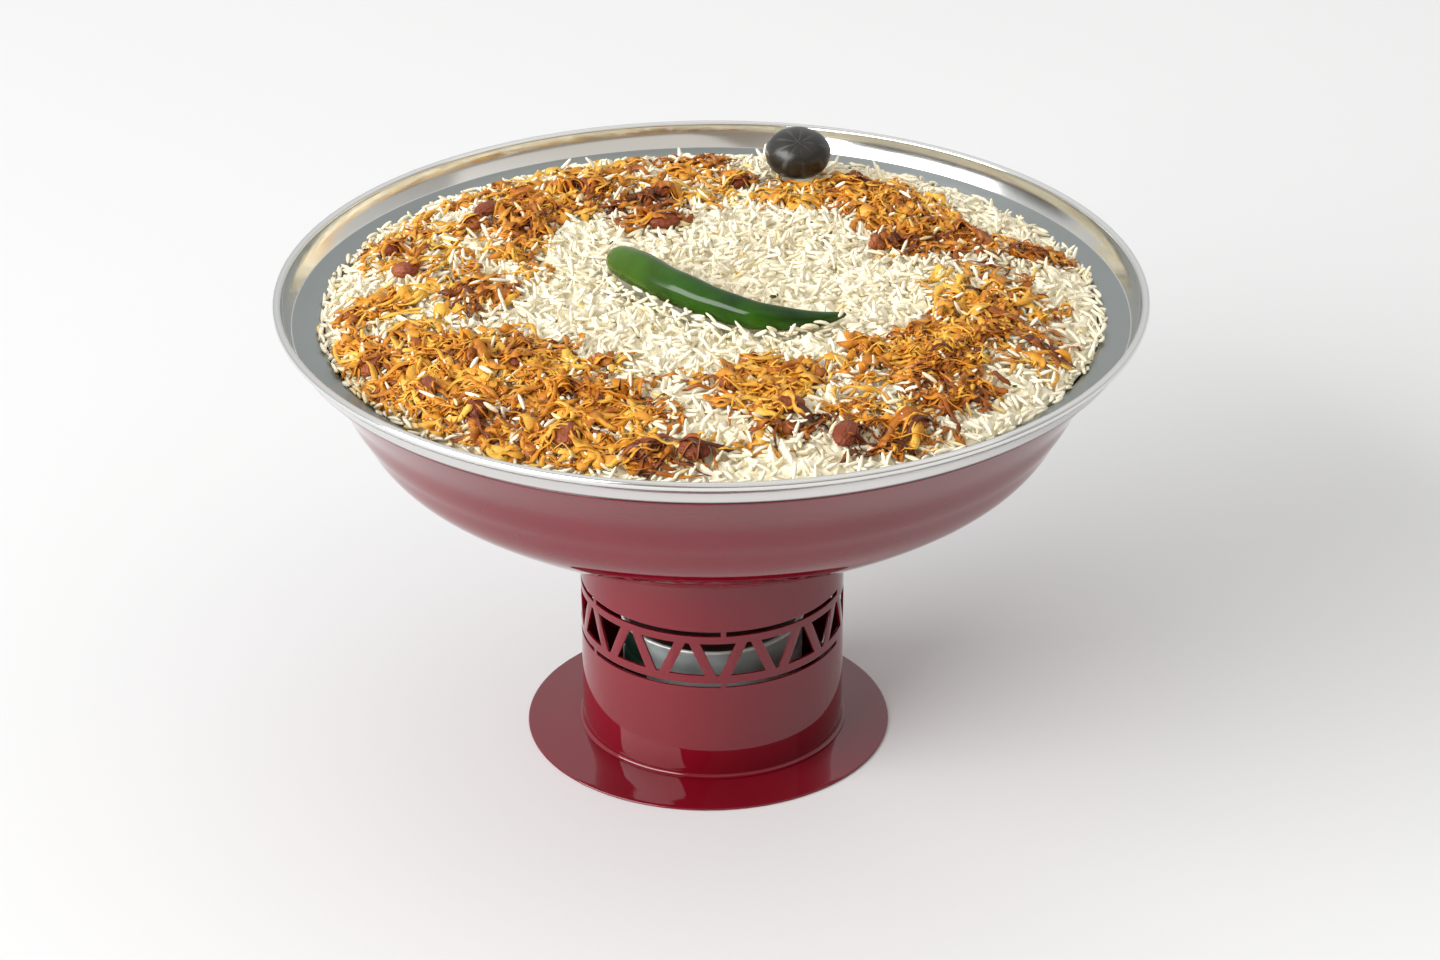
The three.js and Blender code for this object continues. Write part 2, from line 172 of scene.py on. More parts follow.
def spin_edited(steps: int, angle: float) -> None:
    """Spin all that is in edit mode about the vertical axis, close it and leave edit mode.

    Args:
        steps: Number of sides.
        angle: How far it is spun, in radians.
    """
    bpy.ops.mesh.select_all(action="SELECT")
    bpy.ops.mesh.spin(steps=steps, angle=angle, center=(0, 0, 0), axis=(0, 0, 1))
    bpy.ops.mesh.select_all(action="SELECT")
    bpy.ops.mesh.remove_doubles(threshold=MERGED * MM)
    bpy.ops.mesh.normals_make_consistent(inside=False)
    bpy.ops.object.mode_set(mode="OBJECT")


def turned(name: str, profile: Sequence[Point2], steps: int) -> bpy.types.Object:
    """Turn a profile about the vertical axis, as on a lathe.

    Args:
        name: Name of the new object.
        profile: Radius and height of each point, from the axis to the axis or round a closed section.
        steps: Number of sides.

    Returns:
        The closed turned piece.
    """
    piece = new_primitive(name, bpy.ops.mesh.primitive_plane_add, size=MM)
    bpy.ops.object.mode_set(mode="EDIT")
    bpy.ops.mesh.select_all(action="SELECT")
    bpy.ops.mesh.merge(type="CENTER")
    first_radius, first_height = profile[0]
    bpy.ops.transform.translate(value=(first_radius * MM, 0, first_height * MM))
    for (radius_a, height_a), (radius_b, height_b) in zip(profile, profile[1:]):
        step = ((radius_b - radius_a) * MM, 0, (height_b - height_a) * MM)
        bpy.ops.mesh.extrude_region_move(TRANSFORM_OT_translate={"value": step})
    spin_edited(steps, math.tau)
    return piece


def arc(centre: Point2, radius: float, start: float, end: float, steps: int) -> list[Point2]:
    """Return the points of an arc in a profile.

    Args:
        centre: Radius and height of the arc's centre.
        radius: Radius of the arc.
        start: First angle in degrees, from pointing outwards.
        end: Last angle in degrees.
        steps: Number of steps.

    Returns:
        The points, both ends included.
    """
    angles = [math.radians(start + (end - start) * i / steps) for i in range(steps + 1)]
    return [(centre[0] + radius * math.cos(a), centre[1] + radius * math.sin(a)) for a in angles]


def between(p: float, q: float, r: float, s: float, t: float) -> float:
    """Return the value of a smooth line through four evenly spaced ones, a share of the way from q to r."""
    square, cube = 2 * p - 5 * q + 4 * r - s, 3 * q - p - 3 * r + s
    return 0.5 * (2 * q + (r - p) * t + square * t * t + cube * t**3)


def spline(corners: Sequence[Sequence[float]], steps: int) -> list[tuple[float, ...]]:
    """Return evenly counted points on a smooth line through the given corners.

    Args:
        corners: Points that the line passes through.
        steps: Number of steps between two corners.

    Returns:
        The points, both ends included.
    """
    ends = [corners[0], *corners, corners[-1]]
    points = []
    for four in zip(ends, ends[1:], ends[2:], ends[3:]):
        for i in range(steps):
            points.append(tuple(between(*values, i / steps) for values in zip(*four)))
    return [*points, tuple(corners[-1])]


def offset(outline: Sequence[Point2], distance: float) -> list[Point2]:
    """Move an outline sideways.

    Args:
        outline: The points of the outline.
        distance: How far it moves, to the left of its direction where positive.

    Returns:
        The moved points, none of them past the axis.
    """
    moved = []
    for i, (x, y) in enumerate(outline):
        before = outline[max(i - 1, 0)]
        after = outline[min(i + 1, len(outline) - 1)]
        dx, dy = after[0] - before[0], after[1] - before[1]
        length = math.hypot(dx, dy)
        moved.append((max(x - dy / length * distance, 0.0), y + dx / length * distance))
    return moved


def polar(radius: float, angle: float) -> Point2:
    """Return the place at a radius and an angle in radians."""
    return radius * math.cos(angle), radius * math.sin(angle)


def turn_axes(x: np.ndarray | float, y: np.ndarray | float, degrees: float) -> tuple:
    """Return how far places lie along and across an axis that is turned by an angle."""
    c, s = math.cos(math.radians(degrees)), math.sin(math.radians(degrees))
    return x * c + y * s, y * c - x * s


def read_vertices(piece: bpy.types.Object) -> np.ndarray:
    """Return a piece's vertices as rows of x, y, z in millimetres."""
    flat = np.empty(len(piece.data.vertices) * 3)
    piece.data.vertices.foreach_get("co", flat)
    return flat.reshape(-1, 3) / MM


def write_vertices(piece: bpy.types.Object, places: np.ndarray) -> None:
    """Move a piece's vertices to the given places in millimetres."""
    piece.data.vertices.foreach_set("co", (places * MM).ravel())
    piece.data.update()


def add_attribute(piece: bpy.types.Object, name: str, values: np.ndarray) -> None:
    """Store one number for each vertex of a piece, for its material to read."""
    piece.data.attributes.new(name, "FLOAT", "POINT").data.foreach_set("value", values.astype(np.float32))


def normalised(vectors: np.ndarray) -> np.ndarray:
    """Return vectors scaled to a length of one."""
    return vectors / np.maximum(np.linalg.norm(vectors, axis=-1), 1e-6)[..., None]


def tube_faces(rings: int, sides: int) -> list[tuple[int, int, int, int]]:
    """Return the faces between rings of vertices that follow one another.

    Args:
        rings: Number of rings.
        sides: Number of vertices in each.

    Returns:
        Four vertex numbers for each face.
    """
    faces = []
    for ring in range(rings - 1):
        for i in range(sides):
            a, b = ring * sides + i, ring * sides + (i + 1) % sides
            faces.append((a, b, b + sides, a + sides))
    return faces


def array_mesh(name: str, vertices: np.ndarray, template: Sequence[tuple[int, ...]]) -> bpy.types.Object:
    """Make one smooth-shaded object from many small things of the same build.

    Args:
        name: Name of the object.
        vertices: For each thing, rows of x, y, z in millimetres.
        template: The faces of one thing, four vertex numbers each, where a triangle repeats its last one.

    Returns:
        The new object.
    """
    count, each = vertices.shape[:2]
    faces = (np.array(template)[None] + (np.arange(count) * each)[:, None, None]).reshape(-1, 4)
    mesh = bpy.data.meshes.new(name)
    triangle = faces[:, 2] == faces[:, 3]
    sizes = np.where(triangle, 3, 4)
    keep = np.ones(faces.shape, bool)
    keep[triangle, 3] = False
    mesh.vertices.add(count * each)
    mesh.vertices.foreach_set("co", (vertices * MM).ravel())
    mesh.loops.add(int(sizes.sum()))
    mesh.loops.foreach_set("vertex_index", faces[keep])
    mesh.polygons.add(len(faces))
    mesh.polygons.foreach_set("loop_start", np.concatenate([[0], np.cumsum(sizes)[:-1]]))
    mesh.polygons.foreach_set("use_smooth", np.ones(len(faces), bool))
    mesh.update(calc_edges=True)
    mesh.validate()
    piece = bpy.data.objects.new(name, mesh)
    bpy.context.scene.collection.objects.link(piece)
    return piece


def hand_in(
    piece: bpy.types.Object, material: bpy.types.Material, nodes: Sequence[str] = ()
) -> None:
    """Dress a finished piece, let it ride, and say which solids it stands for.

    Args:
        piece: The finished piece.
        material: Its material.
        nodes: The CAD nodes that it replaces.
    """
    piece.data.materials.clear()
    piece.data.materials.append(material)
    if nodes:
        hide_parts(*nodes)
    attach(piece, BODY)
    triangles = sum(len(p.vertices) - 2 for p in piece.data.polygons)
    LOG.info("%s: %d triangles, replaces %s", piece.name, triangles, ", ".join(nodes) or "nothing")


# ---------------------------------------------------------------------------------------------- node helpers
class Graph:
    """A node tree with short ways to add and join nodes."""

    def __init__(self, tree: bpy.types.NodeTree) -> None:
        """Start on a node tree."""
        self.tree = tree

    def node(self, kind: str, **settings: object) -> bpy.types.Node:
        """Add a node.

        Args:
            kind: Blender's name for the node.
            **settings: Properties, and with a leading underscore, values of sockets.

        Returns:
            The node.
        """
        made = self.tree.nodes.new(kind)
        for key, value in settings.items():
            if key.startswith("_"):
                made.inputs[key[1:].replace("_", " ")].default_value = value
            else:
                setattr(made, key, value)
        return made

    def join(self, source: bpy.types.NodeSocket, target: bpy.types.NodeSocket) -> None:
        """Link two sockets."""
        self.tree.links.new(source, target)

    def give(self, target: bpy.types.NodeSocket, value: float | Colour | bpy.types.NodeSocket) -> None:
        """Join a socket to another, or set it to a number or a colour.

        Args:
            target: The socket that is given something.
            value: Another socket, a number or a colour.
        """
        if isinstance(value, bpy.types.NodeSocket):
            self.join(value, target)
        else:
            target.default_value = (*value, 1.0) if isinstance(value, tuple) else value

    def math(self, operation: str, *values: float | bpy.types.NodeSocket) -> bpy.types.NodeSocket:
        """Add a math node and return its result.

        Args:
            operation: What it does.
            *values: Its numbers and sockets in order.

        Returns:
            The result.
        """
        made = self.node("ShaderNodeMath", operation=operation)
        for socket, value in zip(made.inputs, values):
            self.give(socket, value)
        return made.outputs[0]

    def mix(
        self,
        share: float | bpy.types.NodeSocket,
        first: Colour | bpy.types.NodeSocket,
        second: Colour | bpy.types.NodeSocket,
    ) -> bpy.types.NodeSocket:
        """Mix two colours.

        Args:
            share: How much of the second colour there is.
            first: First colour or socket.
            second: Second colour or socket.

        Returns:
            The colour socket.
        """
        made = self.node("ShaderNodeMix", data_type="RGBA")
        for index, value in ((0, share), (6, first), (7, second)):
            self.give(made.inputs[index], value)
        return made.outputs[2]

    def ramp(self, value: bpy.types.NodeSocket, low: float, high: float) -> bpy.types.NodeSocket:
        """Stretch the range from low to high over 0 to 1."""
        made = self.node("ShaderNodeMapRange", **{"_From Min": low, "_From Max": high})
        self.join(value, made.inputs["Value"])
        return made.outputs["Result"]

    def step(self, value: bpy.types.NodeSocket, height: float, softness: float) -> bpy.types.NodeSocket:
        """Return 0 below a size and 1 above it, or the reverse where the softness is negative."""
        return self.ramp(value, (height - softness) * MM, (height + softness) * MM)

    def noise(self, place: bpy.types.NodeSocket, scale: float) -> bpy.types.NodeSocket:
        """Add a noise texture and return its factor."""
        made = self.node("ShaderNodeTexNoise", _Scale=scale, _Detail=3.0)
        self.join(place, made.inputs["Vector"])
        return made.outputs[0]

    def coordinates(self, kind: str = "Object") -> bpy.types.NodeSocket:
        """Return one kind of texture coordinates."""
        return self.node("ShaderNodeTexCoord").outputs[kind]

    def parts(self, vector: bpy.types.NodeSocket) -> Sequence[bpy.types.NodeSocket]:
        """Return the x, y and z of a vector."""
        made = self.node("ShaderNodeSeparateXYZ")
        self.join(vector, made.inputs[0])
        return list(made.outputs)

    def radius(self, x: bpy.types.NodeSocket, y: bpy.types.NodeSocket) -> bpy.types.NodeSocket:
        """Return the distance from the vertical axis."""
        return self.math("SQRT", self.math("ADD", self.math("MULTIPLY", x, x), self.math("MULTIPLY", y, y)))

    def attribute(self, name: str) -> bpy.types.NodeSocket:
        """Return a number that a piece stores at its vertices."""
        return self.node("ShaderNodeAttribute", attribute_name=name).outputs["Fac"]


def new_group(name: str, inputs: dict[str, float], outputs: Sequence[str]) -> tuple[Graph, dict, dict]:
    """Start a shader node group.

    Args:
        name: Name of the group.
        inputs: Names of its number inputs and their usual values.
        outputs: Names of its number outputs.

    Returns:
        The graph, the input sockets by name and the output sockets by name.
    """
    tree = bpy.data.node_groups.new(name, "ShaderNodeTree")
    for key, value in inputs.items():
        tree.interface.new_socket(key, in_out="INPUT", socket_type="NodeSocketFloat").default_value = value
    for key in outputs:
        tree.interface.new_socket(key, in_out="OUTPUT", socket_type="NodeSocketFloat")
    graph = Graph(tree)
    inside = graph.node("NodeGroupInput")
    outside = graph.node("NodeGroupOutput")
    return graph, {key: inside.outputs[key] for key in inputs}, {key: outside.inputs[key] for key in outputs}


def mottle_group() -> bpy.types.NodeTree:
    """Build the group that gives two scales of soft unevenness as masks."""
    graph, given, out = new_group("mottle", {"Coarse": 40.0, "Fine": 400.0}, ("Coarse", "Fine"))
    for key in ("Coarse", "Fine"):
        noise = graph.node("ShaderNodeTexNoise", _Detail=4.0)
        graph.join(graph.coordinates(), noise.inputs["Vector"])
        graph.join(given[key], noise.inputs["Scale"])
        graph.join(graph.ramp(noise.outputs[0], 0.3, 0.7), out[key])
    return graph.tree


def spun_group() -> bpy.types.NodeTree:
    """Build the group that gives the fine rings of metal spun or turned about the vertical axis."""
    graph, given, out = new_group("spun_rings", {"Rings": 900.0, "Waver": 0.15}, ("Rings", "Radius"))
    x, y, z = graph.parts(graph.coordinates())
    radius = graph.radius(x, y)
    along = graph.math("ADD", radius, graph.math("MULTIPLY", z, 1.7))
    line = graph.node("ShaderNodeCombineXYZ")
    graph.join(graph.math("MULTIPLY", along, given["Rings"]), line.inputs["X"])
    waver = graph.math("MULTIPLY", graph.noise(graph.coordinates(), 9.0), given["Waver"])
    graph.join(waver, line.inputs["Y"])
    rings = graph.node("ShaderNodeTexNoise", noise_dimensions="2D", _Scale=1.0, _Detail=5.0, _Roughness=0.7)
    graph.join(line.outputs[0], rings.inputs["Vector"])
    graph.join(rings.outputs[0], out["Rings"])
    graph.join(radius, out["Radius"])
    return graph.tree


class Groups:
    """The shader node groups that several materials share."""

    def __init__(self) -> None:
        """Build each group once."""
        self.mottle = mottle_group()
        self.spun = spun_group()


class Surface(Graph):
    """A material's node tree with its Principled shader and the shared groups."""

    def __init__(self, material: bpy.types.Material, groups: Groups) -> None:
        """Start on a new material."""
        material.use_nodes = True
        super().__init__(material.node_tree)
        self.shader = self.tree.nodes["Principled BSDF"]
        self.groups = groups

    def fix(self, **values: float) -> None:
        """Set numbers that are the same all over on the shader's own sockets."""
        for key, value in values.items():
            self.shader.inputs[key.replace("_", " ")].default_value = value

    def feed(self, **sockets: bpy.types.NodeSocket) -> None:
        """Join what changes over the surface to the shader's sockets."""
        for key, socket in sockets.items():
            self.join(socket, self.shader.inputs[key.replace("_", " ")])

    def group(self, tree: bpy.types.NodeTree, **values: float) -> Sequence[bpy.types.NodeSocket]:
        """Place a shared group with its own values.

        Args:
            tree: The group.
            **values: Its values by name.

        Returns:
            Its outputs in order.
        """
        made = self.node("ShaderNodeGroup", node_tree=tree)
        for key, value in values.items():
            made.inputs[key].default_value = value
        return list(made.outputs)

    def bump(self, height: bpy.types.NodeSocket, distance: float, strength: float) -> None:
        """Feed a height to the shader's normal.

        Args:
            height: The height, from 0 to 1.
            distance: Depth of the relief in millimetres.
            strength: How strong it is.
        """
        made = self.node("ShaderNodeBump", _Strength=strength, _Distance=distance * MM)
        self.join(height, made.inputs["Height"])
        self.feed(Normal=made.outputs[0])


# ---------------------------------------------------------------------------------------------- finishes
@dataclass(frozen=True)
class Finish:
    """What every finish has.

    Attributes:
        name: Name of the material.
        roughness: Roughness of the surface.
        coarse: Scale of the soft unevenness.
        fine: Scale of the fine unevenness.
        relief: Depth in millimetres and strength of the fine relief.
    """

    name: str
    roughness: float
    coarse: float = 40.0
    fine: float = 400.0
    relief: Point2 = (0.05, 0.2)

    def build(self, groups: Groups) -> bpy.types.Material:
        """Build the material.

        Args:
            groups: The shared node groups.

        Returns:
            The material.
        """
        material = bpy.data.materials.new(self.name)
        surface = Surface(material, groups)
        surface.fix(Roughness=self.roughness)
        mottle, fine = surface.group(groups.mottle, Coarse=self.coarse, Fine=self.fine)
        self.dress(surface, mottle, fine)
        return material

    def dress(self, surface: Surface, mottle: bpy.types.NodeSocket, fine: bpy.types.NodeSocket) -> None:
        """Lay this finish's colour, gloss and relief on a surface.

        Args:
            surface: The surface.
            mottle: Its soft unevenness.
            fine: Its fine unevenness.
        """
        raise NotImplementedError


@dataclass(frozen=True)
class Enamel(Finish):
    """Baked red enamel with a deep gloss and a little orange peel."""

    colour: Colour = (0.172, 0.0026, 0.011)
    deep: Colour = (0.146, 0.0018, 0.009)
    coarse: float = 14.0
    fine: float = 700.0
    relief: Point2 = (0.02, 0.08)
    refraction: float = 1.60
    dulling: float = 0.02

    def dress(self, surface: Surface, mottle: bpy.types.NodeSocket, fine: bpy.types.NodeSocket) -> None:
        """Lay two near shades of red under an even gloss; the arguments are those of Finish."""
        surface.fix(IOR=self.refraction)
        surface.feed(
            Base_Color=surface.mix(mottle, self.colour, self.deep),
            Roughness=surface.math("MULTIPLY_ADD", mottle, self.dulling, self.roughness),
        )
        surface.bump(fine, *self.relief)


@dataclass(frozen=True)
class Aluminium(Finish):
    """Spun aluminium: bright rim; satin ledge painted darker as its dim reflection; painted shade below where
    it nests in the bowl.
    """

    colour: Colour = (0.80, 0.80, 0.785)
    # painted reflection: the ledge is painted a darker blue-grey than the rim, for the dim surroundings it
    # reflects
    ledge: Colour = (0.37, 0.40, 0.395)
    # painted shade for the downward faces below the nesting height, in the gap over the bowl's lip
    shadowed: Colour = (0.10, 0.06, 0.055)
    coarse: float = 25.0
    fine: float = 300.0
    relief: Point2 = (0.03, 0.10)
    satin: float = 0.36
    ledge_radius: float = 191.6
    nested: float = 217.6
    rings: float = 1500.0
    waver: float = 0.12
    stretch: Point2 = (0.85, 0.35)

    def dress(self, surface: Surface, mottle: bpy.types.NodeSocket, fine: bpy.types.NodeSocket) -> None:
        """Lay the metal with its turned rings; the arguments are those of Finish."""
        rings, radius = surface.group(surface.groups.spun, Rings=self.rings, Waver=self.waver)
        bright = surface.step(radius, self.ledge_radius, 0.3)
        # painted shade: downward faces below the nesting height are darkened to the shadowed colour
        downward = surface.ramp(surface.parts(surface.coordinates("Normal"))[2], -0.25, -0.40)
        low = surface.step(surface.parts(surface.coordinates())[2], self.nested, -0.5)
        # the ledge takes its darker colour as a painted reflection; the rim keeps the bright metal colour
        shade = surface.mix(bright, self.ledge, self.colour)
        base = surface.math("MULTIPLY_ADD", bright, self.roughness - self.satin, self.satin)
        streak = surface.math("MULTIPLY_ADD", rings, 0.10, -0.05)
        patch = surface.math("MULTIPLY_ADD", mottle, 0.05, streak)
        satin, shine = self.stretch
        surface.fix(Metallic=1.0, Anisotropic_Rotation=0.25)
        surface.feed(
            Base_Color=surface.mix(surface.math("MULTIPLY", downward, low), shade, self.shadowed),
            Roughness=surface.math("ADD", base, patch),
            Anisotropic=surface.math("MULTIPLY_ADD", bright, shine - satin, satin),
            Tangent=surface.node("ShaderNodeTangent", direction_type="RADIAL", axis="Z").outputs[0],
        )
        surface.bump(rings, *self.relief)


@dataclass(frozen=True)
class Tinplate(Finish):
    """Dull grey-green tinplate; painted highlight on the rolled rim, painted shade in the mouth, a painted
    patch on its left.
    """

    colour: Colour = (0.50, 0.56, 0.55)
    # painted highlight: the rolled rim is painted this lighter colour for the highlight it catches
    bright: Colour = (0.80, 0.80, 0.77)
    paint: Colour = (0.012, 0.035, 0.022)
    # painted shade: the mouth inside the rim is painted dark for the lid lying in shadow inside the stem
    mouth_shade: Colour = (0.035, 0.016, 0.013)
    coarse: float = 60.0
    fine: float = 900.0
    relief: Point2 = (0.03, 0.1)
    rim_height: float = 57.6
    mouth: float = 40.9
    patch_middle: float = -62.0
    patch_width: float = 30.0
    metal: Point2 = (0.30, 0.05)

    def dress(self, surface: Surface, mottle: bpy.types.NodeSocket, fine: bpy.types.NodeSocket) -> None:
        """Lay the tin, its paint, the painted rim highlight and mouth shade; the arguments are those of Finish.
        """
        x, y, z = surface.parts(surface.coordinates())
        angle = surface.math("ARCTAN2", x, surface.math("MULTIPLY", y, -1.0))
        away = surface.math("ABSOLUTE", surface.math("SUBTRACT", angle, math.radians(self.patch_middle)))
        half = math.radians(self.patch_width / 2)
        painted = surface.ramp(away, half + 0.02, half)
        body = surface.mix(mottle, self.colour, tuple(1.25 * c for c in self.colour))
        labelled = surface.mix(painted, body, self.paint)
        # above the rim height the colour is the painted highlight of the rolled rim
        sides = surface.mix(surface.step(z, self.rim_height, 0.3), labelled, self.bright)
        # inside the mouth radius the colour is the painted shade of the shadowed lid
        outer = surface.step(surface.radius(x, y), self.mouth, 0.3)
        bare, covered = self.metal
        surface.feed(
            Base_Color=surface.mix(outer, self.mouth_shade, sides),
            Metallic=surface.math("MULTIPLY_ADD", painted, covered - bare, bare),
            Roughness=surface.math("MULTIPLY_ADD", fine, 0.12, self.roughness),
        )
        surface.bump(fine, *self.relief)


@dataclass(frozen=True)
class Rice(Finish):
    """Cooked rice, creamy, with stained and browned grains by their attribute."""

    pale: Colour = (0.935, 0.88, 0.725)
    cream: Colour = (0.92, 0.84, 0.61)
    stained: Colour = (0.82, 0.57, 0.17)
    browned: Colour = (0.45, 0.20, 0.045)
    coarse: float = 90.0
    fine: float = 1600.0
    relief: Point2 = (0.05, 0.2)
    shine: float = 0.35

    def dress(self, surface: Surface, mottle: bpy.types.NodeSocket, fine: bpy.types.NodeSocket) -> None:
        """Lay the four shades of rice; the arguments are those of Finish."""
        stain = surface.attribute("stain")
        warm = surface.mix(mottle, self.pale, self.cream)
        golden = surface.mix(surface.ramp(stain, 0.15, 0.6), warm, self.stained)
        surface.fix(Specular_IOR_Level=self.shine)
        surface.feed(Base_Color=surface.mix(surface.ramp(stain, 0.6, 1.0), golden, self.browned))
        surface.bump(fine, *self.relief)


@dataclass(frozen=True)
class FriedOnion(Finish):
    """Fried onion, from gold through amber to dark brown by its attribute."""

    gold: Colour = (0.82, 0.50, 0.075)
    amber: Colour = (0.66, 0.26, 0.018)
    brown: Colour = (0.33, 0.085, 0.006)
    dark: Colour = (0.10, 0.022, 0.006)
    coarse: float = 150.0
    fine: float = 1100.0
    relief: Point2 = (0.10, 0.4)
    shine: float = 0.3
    oil: Point2 = (0.10, 0.25)

    def dress(self, surface: Surface, mottle: bpy.types.NodeSocket, fine: bpy.types.NodeSocket) -> None:
        """Lay the four shades of frying under a thin film of oil; the arguments are those of Finish."""
        soft = surface.math("MULTIPLY_ADD", mottle, 0.22, -0.11)
        grain = surface.math("MULTIPLY_ADD", fine, 0.14, -0.07)
        depth = surface.math("ADD", surface.attribute("browning"), surface.math("ADD", soft, grain))
        light = surface.mix(surface.ramp(depth, 0.0, 0.4), self.gold, self.amber)
        middle = surface.mix(surface.ramp(depth, 0.4, 0.75), light, self.brown)
        weight, roughness = self.oil
        surface.fix(Specular_IOR_Level=self.shine, Coat_Weight=weight, Coat_Roughness=roughness)
        surface.feed(Base_Color=surface.mix(surface.ramp(depth, 0.75, 1.1), middle, self.dark))
        surface.bump(fine, *self.relief)


@dataclass(frozen=True)
class RaisinSkin(Finish):
    """The wrinkled skin of a fried raisin, with the odd lighter fold."""

    colour: Colour = (0.19, 0.033, 0.009)
    light: Colour = (0.42, 0.13, 0.040)
    coarse: float = 120.0
    fine: float = 700.0
    relief: Point2 = (0.4, 0.8)
    shine: float = 0.30
    oil: Point2 = (0.10, 0.2)

    def dress(self, surface: Surface, mottle: bpy.types.NodeSocket, fine: bpy.types.NodeSocket) -> None:
        """Lay the skin with its lighter folds under a film of oil; the arguments are those of Finish."""
        fold = surface.ramp(surface.math("MULTIPLY", mottle, surface.attribute("light")), 0.1, 0.8)
        weight, roughness = self.oil
        surface.fix(Specular_IOR_Level=self.shine, Coat_Weight=weight, Coat_Roughness=roughness)
        surface.feed(Base_Color=surface.mix(fold, self.colour, self.light))
        surface.bump(fine, *self.relief)


@dataclass(frozen=True)
class ChilliSkin(Finish):
    """The waxy skin of a green chilli, yellower at its broad end, with painted light making its lower side
    lighter and yellower.
    """

    colour: Colour = (0.022, 0.090, 0.002)
    dark: Colour = (0.005, 0.028, 0.001)
    yellow: Colour = (0.12, 0.22, 0.004)
    coarse: float = 45.0
    fine: float = 520.0
    relief: Point2 = (0.05, 0.25)
    shine: float = 0.12
    wax: Point2 = (0.40, 0.13)
    broad_end: float = 0.42
    yellowing: float = 0.38

    def dress(self, surface: Surface, mottle: bpy.types.NodeSocket, fine: bpy.types.NodeSocket) -> None:
        """Lay the greens under the wax; the arguments are those of Finish."""
        body = surface.mix(mottle, self.colour, self.dark)
        young = surface.ramp(surface.attribute("along"), self.broad_end, 0.0)
        # painted light: the lower side is mixed towards the lighter yellow-green; the broad end's yellowing is
        # the pod's own colour
        below = surface.math("MULTIPLY_ADD", surface.attribute("under"), 0.5, young)
        weight, roughness = self.wax
        surface.fix(Specular_IOR_Level=self.shine, Coat_Weight=weight, Coat_Roughness=roughness)
        yellowing_and_painted_light = surface.math("MULTIPLY", below, self.yellowing)
        surface.feed(Base_Color=surface.mix(yellowing_and_painted_light, body, self.yellow))
        surface.bump(fine, *self.relief)


@dataclass(frozen=True)
class LimeRind(Finish):
    """The hard black rind of a dried lime, satin, with dry brown-grey lines from pole to pole."""

    colour: Colour = (0.018, 0.017, 0.014)
    dry: Colour = (0.085, 0.080, 0.068)
    coarse: float = 110.0
    fine: float = 1300.0
    relief: Point2 = (0.08, 0.35)
    dulling: float = 0.2

    def dress(self, surface: Surface, mottle: bpy.types.NodeSocket, fine: bpy.types.NodeSocket) -> None:
        """Lay the rind with its drier lines; the arguments are those of Finish."""
        worn = surface.ramp(surface.math("MULTIPLY", surface.attribute("line"), mottle), 0.2, 0.9)
        surface.feed(
            Base_Color=surface.mix(worn, self.colour, self.dry),
            Roughness=surface.math("MULTIPLY_ADD", worn, self.dulling, self.roughness),
        )
        surface.bump(fine, *self.relief)


@dataclass(frozen=True)
class Spice(Finish):
    """Dark whole spice and burnt crumbs."""

    colour: Colour = (0.030, 0.020, 0.010)
    light: Colour = (0.12, 0.085, 0.035)
    coarse: float = 300.0
    fine: float = 1500.0
    relief: Point2 = (0.1, 0.4)

    def dress(self, surface: Surface, mottle: bpy.types.NodeSocket, fine: bpy.types.NodeSocket) -> None:
        """Lay two shades of brown; the arguments are those of Finish."""
        surface.feed(Base_Color=surface.mix(mottle, self.colour, self.light))
        surface.bump(fine, *self.relief)


@dataclass(frozen=True)
class Table(Finish):
    """The plain pale surface under the object."""

    colour: Colour = (0.765, 0.775, 0.78)
    coarse: float = 3.0
    shine: float = 0.2
    evenness: float = 0.995

    def dress(self, surface: Surface, mottle: bpy.types.NodeSocket, fine: bpy.types.NodeSocket) -> None:
        """Lay one pale colour, very nearly even; the arguments are those of Finish."""
        near = tuple(self.evenness * c for c in self.colour)
        surface.fix(Specular_IOR_Level=self.shine)
        surface.feed(Base_Color=surface.mix(mottle, self.colour, near))


# ---------------------------------------------------------------------------------------------- the studio
@dataclass(frozen=True)
class Softbox:
    """A soft rectangular light that faces the object.

    Attributes:
        name: Name of the light.
        place: Where it stands.
        width: Its width.
        depth: Its depth.
        power: Its power in watts.
        aim: Height above the table at which it is aimed.
    """

    name: str
    place: Point3
    width: float
    depth: float
    power: float
    aim: float = 180.0

    def build(self) -> None:
        """Add the light."""
        data = bpy.data.lights.new(self.name, "AREA")
        data.shape = "RECTANGLE"
        data.size = self.width * MM
        data.size_y = self.depth * MM
        data.energy = self.power
        lamp = bpy.data.objects.new(self.name, data)
        bpy.context.scene.collection.objects.link(lamp)
        lamp.location = Vector(self.place) * MM
        towards = Vector((0, 0, self.aim * MM)) - lamp.location
        lamp.rotation_euler = towards.to_track_quat("-Z", "Y").to_euler()


